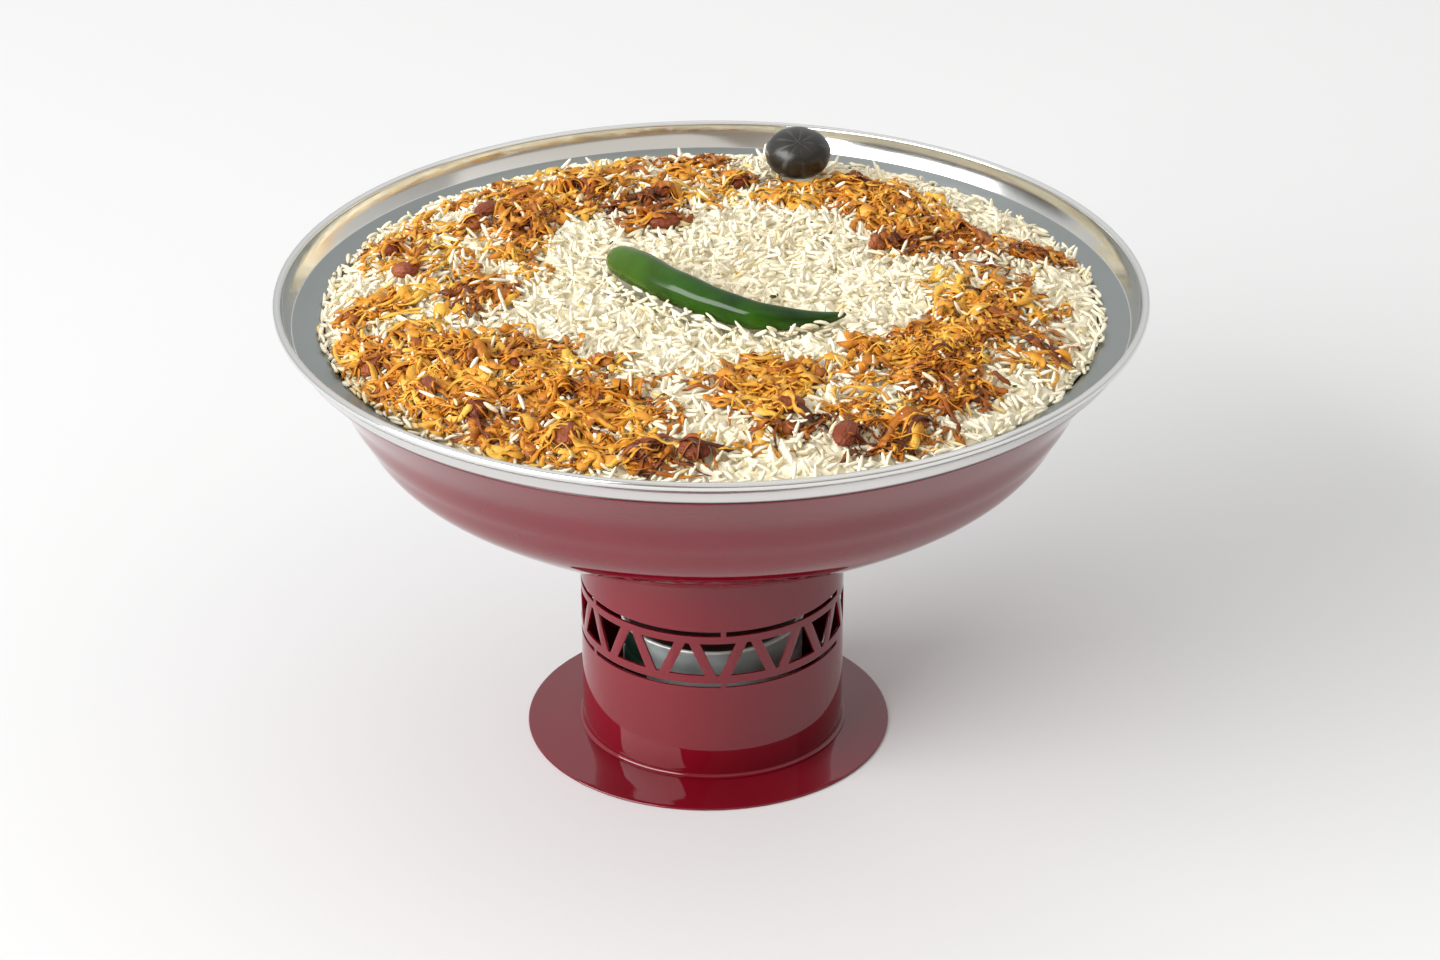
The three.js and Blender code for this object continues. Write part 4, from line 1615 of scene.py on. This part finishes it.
@dataclass
class Raisins:
    """The raisins that stand out, each a wrinkled ball that lies on the rice, and a few smaller ones."""

    standing: tuple[Raisin, ...] = tuple(
        Raisin(*sizes) for sizes in (
            (-150, -75, 15, 11, 60), (-62, -148, 16, 12, 100), (-28, -160, 15, 10, 20),
            (-8, -162, 16, 10, -15), (57, -149, 17, 12, 75), (87, -138, 13, 10, 30), (33, -130, 15, 9, 10),
            (-141, 13, 14, 9, -20), (-124, -103, 15, 11, 80), (-101, -124, 14, 10, 120),
            (-106, 81, 15, 11, 35), (-22, 61, 17, 11, 10), (-22, 99, 15, 10, 60), (-57, 107, 15, 11, -30),
        )
    )
    small: tuple[Raisin, ...] = tuple(
        Raisin(*sizes) for sizes in (
            (104, -76, 13, 9, 30), (-30, 92, 12, 8, 80), (-112, 70, 11, 8, 50), (-104, -80, 12, 9, 20),
            (-66, -112, 12, 8, 10), (-84, -86, 11, 8, 60), (-150, 44, 11, 8, 30), (14, 112, 12, 8, 70),
            (-70, 108, 11, 8, 15), (78, 36, 11, 7, 30), (8, -112, 10, 7, 10), (-82, 64, 11, 8, 80),
        )
    )
    height: float = 7.5
    small_height: float = 6.0
    lift: float = 0.6
    folds: int = 8
    wrinkle: float = 0.26
    crown: float = 0.60

    def each(self) -> Iterator[tuple[Raisin, float]]:
        """Yield every raisin with its height, the standing ones first."""
        for raisins, height in ((self.standing, self.height), (self.small, self.small_height)):
            for raisin in raisins:
                yield raisin, height

    def build(self, groups: Groups) -> None:
        """Make every raisin from an ico sphere and join them.

        Args:
            groups: The shared node groups.
        """
        random = np.random.default_rng(3)
        add = bpy.ops.mesh.primitive_ico_sphere_add
        made = []
        for i, (raisin, height) in enumerate(self.each()):
            ball = new_primitive(f"raisin_{i}", add, subdivisions=5, radius=MM)
            places = read_vertices(ball)
            places *= self.wrinkled(places, random)[:, None]
            size = np.array([raisin.long, raisin.short, height]) / 2
            middle = (raisin.x, raisin.y, float(HEAP.height(raisin.x, raisin.y)) + height / 2 + self.lift)
            write_vertices(ball, (places * size) @ np.array(self.lie(raisin)).T + middle)
            add_attribute(ball, "light", np.full(len(places), random.uniform(0.0, 1.0)))
            made.append(ball)
        raisins = joined("raisin_skins", made)
        smooth(raisins, 60)
        nodes = [f"raisin_{i + 1:02d}" for i in range(len(self.standing))]
        hand_in(raisins, RaisinSkin("raisin_skin", 0.45).build(groups), nodes)

    def wrinkled(self, places: np.ndarray, random: np.random.Generator) -> np.ndarray:
        """Return how far each vertex of a unit ball is drawn in, from long wavering folds.

        Args:
            places: Vertices of the ball.
            random: Where the folds' directions come from.

        Returns:
            One factor for each vertex, at most one.
        """
        depth = np.zeros(len(places))
        for _ in range(self.folds):
            across = random.normal(size=3)
            across[0] *= 0.35
            across /= np.linalg.norm(across)
            bend = random.normal(size=3)
            wave = places @ across * random.uniform(5, 13) + 1.1 * np.sin(places @ bend * 3)
            depth += np.abs(np.sin(wave + random.uniform(0, math.tau))) ** 0.6
        return 1 - self.wrinkle * (1 - depth / depth.max())

    def lie(self, raisin: Raisin) -> Matrix:
        """Return the turn that lays a raisin on the slope of the heap.

        Args:
            raisin: The raisin.

        Returns:
            The rotation.
        """
        x, y, step = raisin.x, raisin.y, 0.03
        outward = math.atan2(y, x)
        inner, outer = (float(HEAP.height(x * share, y * share)) for share in (1 - step, 1 + step))
        tilt = math.atan2(outer - inner, 2 * step * math.hypot(x, y))
        lay = Matrix.Rotation(math.radians(raisin.turn) - outward, 3, "Z")
        return Matrix.Rotation(outward, 3, "Z") @ Matrix.Rotation(-tilt, 3, "Y") @ lay

    def mark(self, relief: Relief) -> None:
        """Raise the height map over every raisin, and note the tops that stay mostly bare.

        Args:
            relief: The height map.
        """
        for i, (raisin, height) in enumerate(self.each()):
            along, across = turn_axes(relief.x - raisin.x, relief.y - raisin.y, raisin.turn)
            inside = np.clip(1 - (2 * along / raisin.long) ** 2 - (2 * across / raisin.short) ** 2, 0, 1)
            foot = float(HEAP.height(raisin.x, raisin.y)) + self.lift
            relief.raise_all(inside > 0, foot + height / 2 * (1 + np.sqrt(inside)))
            if i < len(self.standing):
                relief.crowns |= inside > self.crown


@dataclass
class Grains:
    """Loose grains of one kind, gathered as they are laid and made as one piece at the end.

    Attributes:
        name: Name of the piece.
        seed: Seed of their roll about their own axes.
        sides: Sides of a grain.
        rings: Place and width of each ring of a grain, as shares of its half length and radius.
        middles: Middle of each grain.
        axes: Unit vector along each grain.
        sizes: Half the length, the radius and the bend of each grain.
        stains: How far each grain is stained, from 0 to 1.
    """

    name: str
    seed: int
    sides: int = 5
    rings: tuple[Point2, ...] = ((-0.80, 0.62), (-0.34, 0.98), (0.25, 1.0), (0.78, 0.66))
    middles: list[np.ndarray] = field(default_factory=list)
    axes: list[np.ndarray] = field(default_factory=list)
    sizes: list[Point3] = field(default_factory=list)
    stains: list[float] = field(default_factory=list)

    def add(self, middle: np.ndarray, axis: np.ndarray, size: Point3, stain: float) -> None:
        """Lay one grain.

        Args:
            middle: Its middle.
            axis: Unit vector along it.
            size: Half its length, its radius and its bend.
            stain: How far it is stained, from 0 to 1.
        """
        self.middles.append(middle)
        self.axes.append(axis)
        self.sizes.append(size)
        self.stains.append(stain)

    def build(self) -> bpy.types.Object:
        """Make all the grains as one mesh."""
        random = np.random.default_rng(self.seed)
        middle, axis, size = np.array(self.middles), np.array(self.axes), np.array(self.sizes)
        half, radius, bend = (size[:, k, None, None] for k in range(3))
        side = normalised(np.cross(axis, np.where(np.abs(axis[:, 2:3]) > 0.9, (1.0, 0, 0), (0, 0, 1.0))))
        third = np.cross(axis, side)
        roll = random.uniform(0, math.tau, (len(middle), 1))
        c, s = np.cos(roll), np.sin(roll)
        side, third = c * side + s * third, c * third - s * side
        t, swell = (np.array(values)[None, :, None] for values in zip(*self.rings))
        angle = np.arange(self.sides) * math.tau / self.sides
        around = np.cos(angle) * 1.12 * radius * swell
        across = np.sin(angle) * 0.88 * radius * swell + bend * (1 - t * t)
        along = np.broadcast_to(t * half, around.shape)
        rings = middle[:, None, None]
        for share, way in ((along, axis), (around, side), (across, third)):
            rings = rings + share[..., None] * way[:, None, None]
        tips = middle[:, None] + np.array([[-1.0], [1.0]]) * half * axis[:, None]
        vertices = np.concatenate([rings.reshape(len(middle), -1, 3), tips], axis=1)
        piece = array_mesh(self.name, vertices, self.faces())
        add_attribute(piece, "stain", np.repeat(np.array(self.stains), vertices.shape[1]))
        return piece

    def faces(self) -> list[tuple[int, int, int, int]]:
        """Return the faces of one grain: its sides, and triangles to the tips."""
        n = self.sides
        last, start = (len(self.rings) - 1) * n, len(self.rings) * n
        rows = tube_faces(len(self.rings), n)
        for i in range(n):
            following = (i + 1) % n
            rows.append((following, i, start, start))
            rows.append((last + i, last + following, start + 1, start + 1))
        return rows


@dataclass
class RiceHeap:
    """The heap of rice: a core with grain-shaped relief and loose grains over it."""

    chilli: Chilli
    lime: DriedLime
    sink: float = 3.0
    pressed: int = 6000
    laid: int = 19000
    brim: int = 2400
    edging: int = 2200
    standing: int = 1000
    banked: int = 420
    topping: int = 70
    piece_limit: int = 4900
    whole: Point2 = (3.4, 5.6)
    broken: Point2 = (1.6, 3.0)
    whole_share: float = 0.88
    thickness: Point2 = (0.84, 1.06)
    bend: float = 0.9
    fresh: Point2 = (0.0, 0.16)
    stained: Point2 = (0.2, 0.6)
    browned: Point2 = (0.65, 1.0)
    stained_share: float = 0.40
    browned_share: float = 0.06
    stray_share: float = 0.012
    grain_reach: float = 179.2
    brim_from: float = 175.4
    brim_to: float = 179.6
    edging_from: float = 168.0
    wall_gap: float = 1.2
    core_sides: int = 520
    core_rings: int = 125
    proud: float = 1.6
    bank_height: float = 6.0
    ceiling: float = 10.0
    open: np.ndarray = field(default_factory=lambda: np.empty(0))
    cover: np.ndarray = field(default_factory=lambda: np.empty(0))
    finish: bpy.types.Material | None = None

    def plan(self, relief: Relief) -> None:
        """Work out once, cell by cell, where loose grains may lie and how thickly the onion lies.

        Args:
            relief: The height map.
        """
        lime = self.lime.distance(relief.x, relief.y) > 0.60
        chilli = self.chilli.distance(relief.x, relief.y) > -3.0
        angle = np.arctan2(relief.y, relief.x)
        uneven = 0.9 * np.sin(5 * angle + 1) + 0.7 * np.sin(13 * angle + 2) + 0.5 * np.sin(29 * angle)
        self.open = chilli & lime & (np.hypot(relief.x, relief.y) < self.grain_reach + 1.2 + uneven)
        self.cover = onion_cover(relief.x, relief.y)

    def core(self) -> bpy.types.Object:
        """Turn the core and press the shapes of grains into its top."""
        relief = Relief(self.sink)
        random = np.random.default_rng(11)
        for _ in range(self.pressed):
            self.lay(relief, random, None)
        radius, steps = HEAP.radius, self.core_rings
        far = (radius - 0.8) * (1 - np.arange(steps + 1) / steps)
        top = [(float(r), float(z)) for r, z in zip(far, relief.smooth_at(far, np.zeros_like(far)))]
        under = offset(spline(DISH_WALL, 3), self.wall_gap)
        profile = [(0, DISH_WALL[0][1] + self.wall_gap), *under, (radius, HEAP.edge - 1.4), *top]
        core = turned("rice_core", profile, self.core_sides)
        places = read_vertices(core)
        x, y, z = places.T
        upper = (z > HEAP.edge - self.sink - 0.5) & (np.hypot(x, y) < radius - 1)
        places[:, 2] = np.where(upper, relief.smooth_at(x, y) - 0.6, z)
        write_vertices(core, places)
        add_attribute(core, "stain", 0.35 * np.clip(onion_cover(x, y), 0, 1))
        smooth(core, 80)
        return core

    def lay(
        self,
        relief: Relief,
        random: np.random.Generator,
        kinds: Sequence[Grains] | None,
        spot: Point2 | None = None,
        limit: float | None = None,
        heading: float | None = None,
    ) -> None:
        """Let one grain come to rest on the height map.

        Args:
            relief: The height map.
            random: Where its place, size and direction come from.
            kinds: The kinds of grain to add it to, or None for relief alone.
            spot: Its place, or None for anywhere.
            limit: How far above the bare heap it may rest, or None for the usual.
            heading: Its direction, or None for any.
        """
        x, y = spot or self.anywhere(random)
        half = random.uniform(*(self.whole if random.random() < self.whole_share else self.broken))
        radius = random.uniform(*self.thickness)
        heading = random.uniform(0, math.tau) if heading is None else heading
        dx, dy = math.cos(heading), math.sin(heading)
        t = np.linspace(-1, 1, 9)
        px, py = x + half * t * dx, y + half * t * dy
        cells = relief.cells(px, py)
        if not self.open[cells].all():
            return
        under = relief.heights[cells]
        if (under - relief.bare[cells]).max() > (self.proud if limit is None else limit):
            return
        first, second = under[:5].max(), under[4:].max()
        slope = np.clip((second - first) / half, -0.9, 0.9)
        level = float((under - slope * half * t).max())
        middle = np.array([x, y, level + radius * 0.55])
        crest = middle[2] + slope * half * t + radius * 0.8 * (1 - 0.5 * t**4)
        for shift in (-radius * 0.7, 0.0, radius * 0.7):
            relief.raise_to(px - shift * dy, py + shift * dx, crest)
        if kinds is not None:
            size = (half, radius, random.uniform(-self.bend, self.bend))
            self.keep(relief, kinds, random, middle, normalised(np.array([dx, dy, slope])), size)

    def anywhere(self, random: np.random.Generator) -> Point2:
        """Return a place on the heap, each equally likely."""
        far = self.grain_reach * math.sqrt(random.random())
        return polar(far, random.uniform(0, math.tau))

    def keep(
        self,
        relief: Relief,
        kinds: Sequence[Grains],
        random: np.random.Generator,
        middle: np.ndarray,
        axis: np.ndarray,
        size: Point3,
    ) -> None:
        """Add a grain to the first kind with room, stained by the onion round it.

        Args:
            relief: The height map.
            kinds: The kinds of grain.
            random: Where its stain comes from.
            middle: Its middle.
            axis: Unit vector along it.
            size: Half its length, its radius and its bend.
        """
        cover = float(self.cover[relief.cells(middle[0], middle[1])])
        chance = random.random()
        stain = random.uniform(*self.fresh)
        browned = self.browned_share * cover
        if chance < browned:
            stain = random.uniform(*self.browned)
        elif chance < browned + self.stained_share * min(cover, 1.0) + self.stray_share:
            stain = random.uniform(*self.stained)
        for kind in kinds:
            if len(kind.middles) < self.piece_limit:
                kind.add(middle, axis, size, stain)
                return

    def stand(self, relief: Relief, random: np.random.Generator, kinds: Sequence[Grains]) -> None:
        """Push one grain into the heap so that it stands up from it.

        Args:
            relief: The height map.
            random: Where its place, size and direction come from.
            kinds: The kinds of grain to add it to.
        """
        x, y = self.anywhere(random)
        half, radius = random.uniform(3.4, 5.0), random.uniform(0.80, 1.0)
        heading, rise = random.uniform(0, math.tau), math.radians(random.uniform(15, 70))
        axis = np.array([*polar(math.cos(rise), heading), math.sin(rise)])
        base = float(relief.heights[relief.cells(x, y)])
        middle = np.array([x, y, base + half * math.sin(rise) * random.uniform(-0.15, 0.45)])
        ends = np.stack([middle - half * axis, middle + half * axis])
        if self.open[relief.cells(ends[:, 0], ends[:, 1])].all():
            self.keep(relief, kinds, random, middle, axis, (half, radius, random.uniform(-0.7, 0.7)))

    def build(self, groups: Groups, relief: Relief) -> list[Grains]:
        """Make the core and lay the first grains: all over, round the brim, upright and against the chilli.

        Args:
            groups: The shared node groups.
            relief: The height map, which the grains raise.

        Returns:
            The kinds of grain so far.
        """
        self.plan(relief)
        self.finish = Rice("cooked_rice", 0.42).build(groups)
        hand_in(self.core(), self.finish, ["rice_bed"])
        kinds = [Grains("rice_grains_lower", 0), Grains("rice_grains_middle", 1)]
        random = np.random.default_rng(5)
        for _ in range(self.laid):
            self.lay(relief, random, kinds)
        for _ in range(self.brim):
            far, turn = random.uniform(self.brim_from, self.brim_to), random.uniform(0, math.tau)
            tangent = turn + math.pi / 2 + random.normal() * 0.22
            self.lay(relief, random, kinds, polar(far, turn), heading=tangent)
        for _ in range(self.edging):
            far = random.uniform(self.edging_from, self.grain_reach)
            self.lay(relief, random, kinds, polar(far, random.uniform(0, math.tau)))
        for _ in range(self.standing):
            self.stand(relief, random, kinds)
        self.chilli.mark(relief)
        self.open |= self.chilli.distance(relief.x, relief.y) < 0
        for _ in range(self.banked):
            side = random.choice((-1.0, 1.0), p=(0.3, 0.7)) * random.uniform(0.75, 1.5)
            spot = self.chilli.foot(random.uniform(0.04, 0.98), side)
            self.lay(relief, random, kinds, spot, self.bank_height)
        return kinds

    def top_off(self, kinds: Sequence[Grains], relief: Relief) -> None:
        """Scatter the last grains over the onion and make every kind.

        Args:
            kinds: The kinds of grain.
            relief: The height map.
        """
        random = np.random.default_rng(8)
        top = Grains("rice_grains_loose", 3)
        while len(top.middles) < self.topping:
            drift = DRIFTS[random.integers(len(DRIFTS))]
            x = drift.x + random.normal() * drift.long * 0.6
            y = drift.y + random.normal() * drift.long * 0.6
            apart = math.hypot(x, y) < self.grain_reach - 6 and not relief.crowns[relief.cells(x, y)]
            if apart and self.chilli.distance(np.array([x]), np.array([y]))[0] > 4:
                self.lay(relief, random, [top], (x, y), self.ceiling)
        for kind in (*kinds, top):
            hand_in(kind.build(), self.finish)


@dataclass(frozen=True)
class Cut:
    """One kind of onion piece.

    Attributes:
        name: Name of the piece that holds them all.
        amount: How many lie on a square millimetre where they cover the rice.
        lengths: Least and greatest length.
        widths: Least and greatest width.
        thickness: Half the usual thickness.
        section: Corners of the section, across and up, in half widths and half thicknesses.
    """

    name: str
    amount: float
    lengths: Point2
    widths: Point2
    thickness: float
    section: tuple[Point2, ...] = ((1, -0.77), (-1, -0.77), (-1, 0.77), (1, 0.77))


class Ribbon(NamedTuple):
    """One laid piece of onion.

    Attributes:
        line: Points of its middle line.
        roll: Its roll at each point.
        width: Half its width.
        thickness: Half its thickness.
        browning: How far it is fried.
    """

    line: np.ndarray
    roll: np.ndarray
    width: float
    thickness: float
    browning: float


@dataclass
class Onion:
    """The fried onion: bent shreds, broader strips and crumbs, laid drift by drift."""

    chilli: Chilli
    lime: DriedLime
    steps: int = 11
    cuts: tuple[Cut, ...] = (
        Cut("onion_strips", 0.016, (8, 20), (3.0, 7.0), 0.30),
        Cut("onion_shreds", 0.046, (8, 28), (1.2, 3.4), 0.25),
        Cut("onion_crumbs", 0.020, (2, 6), (0.8, 2.4), 0.5, ((0, -1), (-1, 0), (0, 1), (1, 0))),
    )
    replacing: str = "onion_shreds"
    overhang: float = 2.5
    ceiling: float = 9.5
    open: np.ndarray = field(default_factory=lambda: np.empty(0))

    def build(self, groups: Groups, relief: Relief) -> None:
        """Lay every drift and make the shreds, strips and crumbs.

        Args:
            groups: The shared node groups.
            relief: The height map.
        """
        random = np.random.default_rng(17)
        lime = self.lime.distance(relief.x, relief.y) > 0.8
        self.open = lime & (self.chilli.distance(relief.x, relief.y) > 0.8)
        laid = {cut: [] for cut in self.cuts}
        for drift in DRIFTS:
            for cut, ribbons in laid.items():
                for _ in range(round(drift.amount * cut.amount)):
                    ribbons += self.lay(cut, drift, relief, random)
        finish = FriedOnion("fried_onion", 0.42).build(groups)
        for cut, ribbons in laid.items():
            nodes = ["fried_onions"] if cut.name == self.replacing else []
            hand_in(self.mesh(cut, ribbons), finish, nodes)

    def lay(self, cut: Cut, drift: Drift, relief: Relief, random: np.random.Generator) -> list[Ribbon]:
        """Let one ribbon come to rest in a drift.

        Args:
            cut: Its kind.
            drift: The drift that it belongs to.
            relief: The height map.
            random: Where its place and shape come from.

        Returns:
            The ribbon, or nothing where it has no room.
        """
        share, turn = math.sqrt(random.random()) * 1.08, random.uniform(0, math.tau)
        angle = math.radians(drift.turn)
        u, v = drift.long * share * math.cos(turn), drift.short * share * math.sin(turn)
        x = drift.x + u * math.cos(angle) - v * math.sin(angle)
        y = drift.y + u * math.sin(angle) + v * math.cos(angle)
        length = random.uniform(*cut.lengths)
        width = random.uniform(*cut.widths)
        heading = angle + random.normal() * 0.75
        t = np.linspace(-0.5, 0.5, self.steps)
        curl = random.normal() * 1.3 * t + random.uniform(-0.8, 0.8) * np.sin(t * random.uniform(5, 14))
        way = heading + curl
        step = length / (self.steps - 1)
        px = x + np.concatenate([[0], np.cumsum(np.cos(way[1:]) * step)]) - length * 0.5 * math.cos(heading)
        py = y + np.concatenate([[0], np.cumsum(np.sin(way[1:]) * step)]) - length * 0.5 * math.sin(heading)
        cells = relief.cells(px, py)
        if np.hypot(px, py).max() > HEAP.radius + self.overhang or not self.open[cells].all():
            return []
        if relief.crowns[cells].any() and random.random() < 0.8:
            return []
        ground = relief.heights[cells]
        chord = np.interp(t, [t[0], 0, t[-1]], [ground[0], ground[self.steps // 2], ground[-1]])
        rest = np.maximum(ground, 0.6 * chord + 0.4 * ground)
        arch = random.uniform(0.0, 0.09) * length * (1 - 4 * t * t) * (random.random() < 0.6)
        ceiling = HEAP.height(px, py) + self.ceiling
        pz = np.minimum(rest + arch + cut.thickness + 0.15, ceiling)
        pz = (np.concatenate([[pz[0]], pz[:-1]]) + 2 * pz + np.concatenate([pz[1:], [pz[-1]]])) / 4
        relief.raise_to(px, py, np.minimum(pz + 0.1, ceiling - 1.5))
        roll = random.normal() * 0.5 + random.normal() * 1.3 * t
        clump = math.sin(x * 0.21 + 2 * math.sin(y * 0.13)) * math.sin(y * 0.25 + 1)
        brown = drift.hue.value + random.normal() * 0.15 + 0.26 * clump + 0.35 * (random.random() < 0.08)
        return [Ribbon(np.stack([px, py, pz], axis=1), roll, width / 2, cut.thickness, brown)]

    def mesh(self, cut: Cut, ribbons: Sequence[Ribbon]) -> bpy.types.Object:
        """Make ribbons of one kind as one mesh.

        Args:
            cut: Their kind.
            ribbons: The ribbons.

        Returns:
            The new object.
        """
        line, roll, width, thick, brown = (np.array(values) for values in zip(*ribbons))
        count, steps = roll.shape
        heading = normalised(np.gradient(line, axis=1))
        side = normalised(np.cross(heading, (0.0, 0.0, 1.0)))
        upward = np.cross(side, heading)
        c, s = np.cos(roll)[..., None], np.sin(roll)[..., None]
        side, upward = c * side + s * upward, c * upward - s * side
        t = np.linspace(-1, 1, steps)
        taper = (1 - 0.75 * np.abs(t) ** 5)[:, None]
        random = np.random.default_rng(count)
        phase, pace = random.uniform(0, math.tau, (count, 1)), random.uniform(2, 7, (count, 1))
        uneven = 0.82 + 0.30 * np.sin(pace * t + phase) + random.uniform(-0.14, 0.14, (count, steps))
        w = width[:, None, None] * taper * uneven[..., None]
        h = thick[:, None, None] * taper
        corners = [line + a * w * side + (b * h + abs(a) * 0.18 * w) * upward for a, b in cut.section]
        n = len(corners)
        last = n * (steps - 1)
        faces = [*tube_faces(steps, n), tuple(reversed(range(n))), tuple(range(last, last + n))]
        piece = array_mesh(cut.name, np.stack(corners, axis=2).reshape(count, steps * n, 3), faces)
        ends = brown[:, None] + 0.22 * np.abs(t) ** 3 + 0.10 * np.sin(2 * pace * t + phase)
        add_attribute(piece, "browning", np.repeat(ends.ravel(), n))
        return piece


@dataclass
class Specks:
    """The few dark whole spices and burnt crumbs among the rice."""

    count: int = 150
    named: tuple[Point3, ...] = (
        (28, -24, 4.0), (30, -20, 3.0), (52, 46, 4.5), (56, 50, 3.0), (38, -142, 6.0), (44, -138, 5.0),
        (122, 30, 5.0), (130, 22, 4.0), (134, 6, 4.0), (-118, -2, 4.0), (120, 52, 4.0), (-44, -116, 5.0),
    )

    def build(self, groups: Groups, relief: Relief) -> None:
        """Lay the specks, most of them on drifts of onion, and make them as one mesh.

        Args:
            groups: The shared node groups.
            relief: The height map.
        """
        random = np.random.default_rng(29)
        seeds = Grains("spice_specks", 31, rings=((-0.6, 0.8), (0.5, 0.85)))
        spots = [*self.named]
        while len(spots) < self.count:
            drift = DRIFTS[random.integers(len(DRIFTS))]
            x = drift.x + random.normal() * drift.long
            y = drift.y + random.normal() * drift.long
            if math.hypot(x, y) < HEAP.radius - 6:
                spots.append((x, y, random.uniform(1.0, 3.4)))
        for x, y, length in spots:
            ground = float(relief.heights[relief.cells(x, y)])
            heading = random.uniform(0, math.tau)
            axis = normalised(np.array([*polar(1.0, heading), random.uniform(-0.4, 0.6)]))
            size = (length / 2, random.uniform(0.35, 0.7) if length < 3.5 else 0.9, random.uniform(-0.3, 0.3))
            seeds.add(np.array([x, y, ground + 0.3]), axis, size, 0.0)
        hand_in(seeds.build(), Spice("spice", 0.5).build(groups))


def main() -> None:
    """Build the studio, the metal parts and the food, in that order."""
    logging.basicConfig(level=logging.INFO, format="%(name)s: %(message)s")
    groups = Groups()
    Studio().build(groups)
    Stand().build(groups)
    Dish().build(groups)
    chilli = Chilli()
    chilli.build(groups)
    lime = DriedLime()
    lime.build(groups)
    raisins = Raisins()
    raisins.build(groups)
    heap = RiceHeap(chilli, lime)
    relief = Relief(heap.sink)
    kinds = heap.build(groups, relief)
    raisins.mark(relief)
    Onion(chilli, lime).build(groups, relief)
    heap.top_off(kinds, relief)
    Specks().build(groups, relief)
    deselect()


if __name__ == "__main__":
    main()
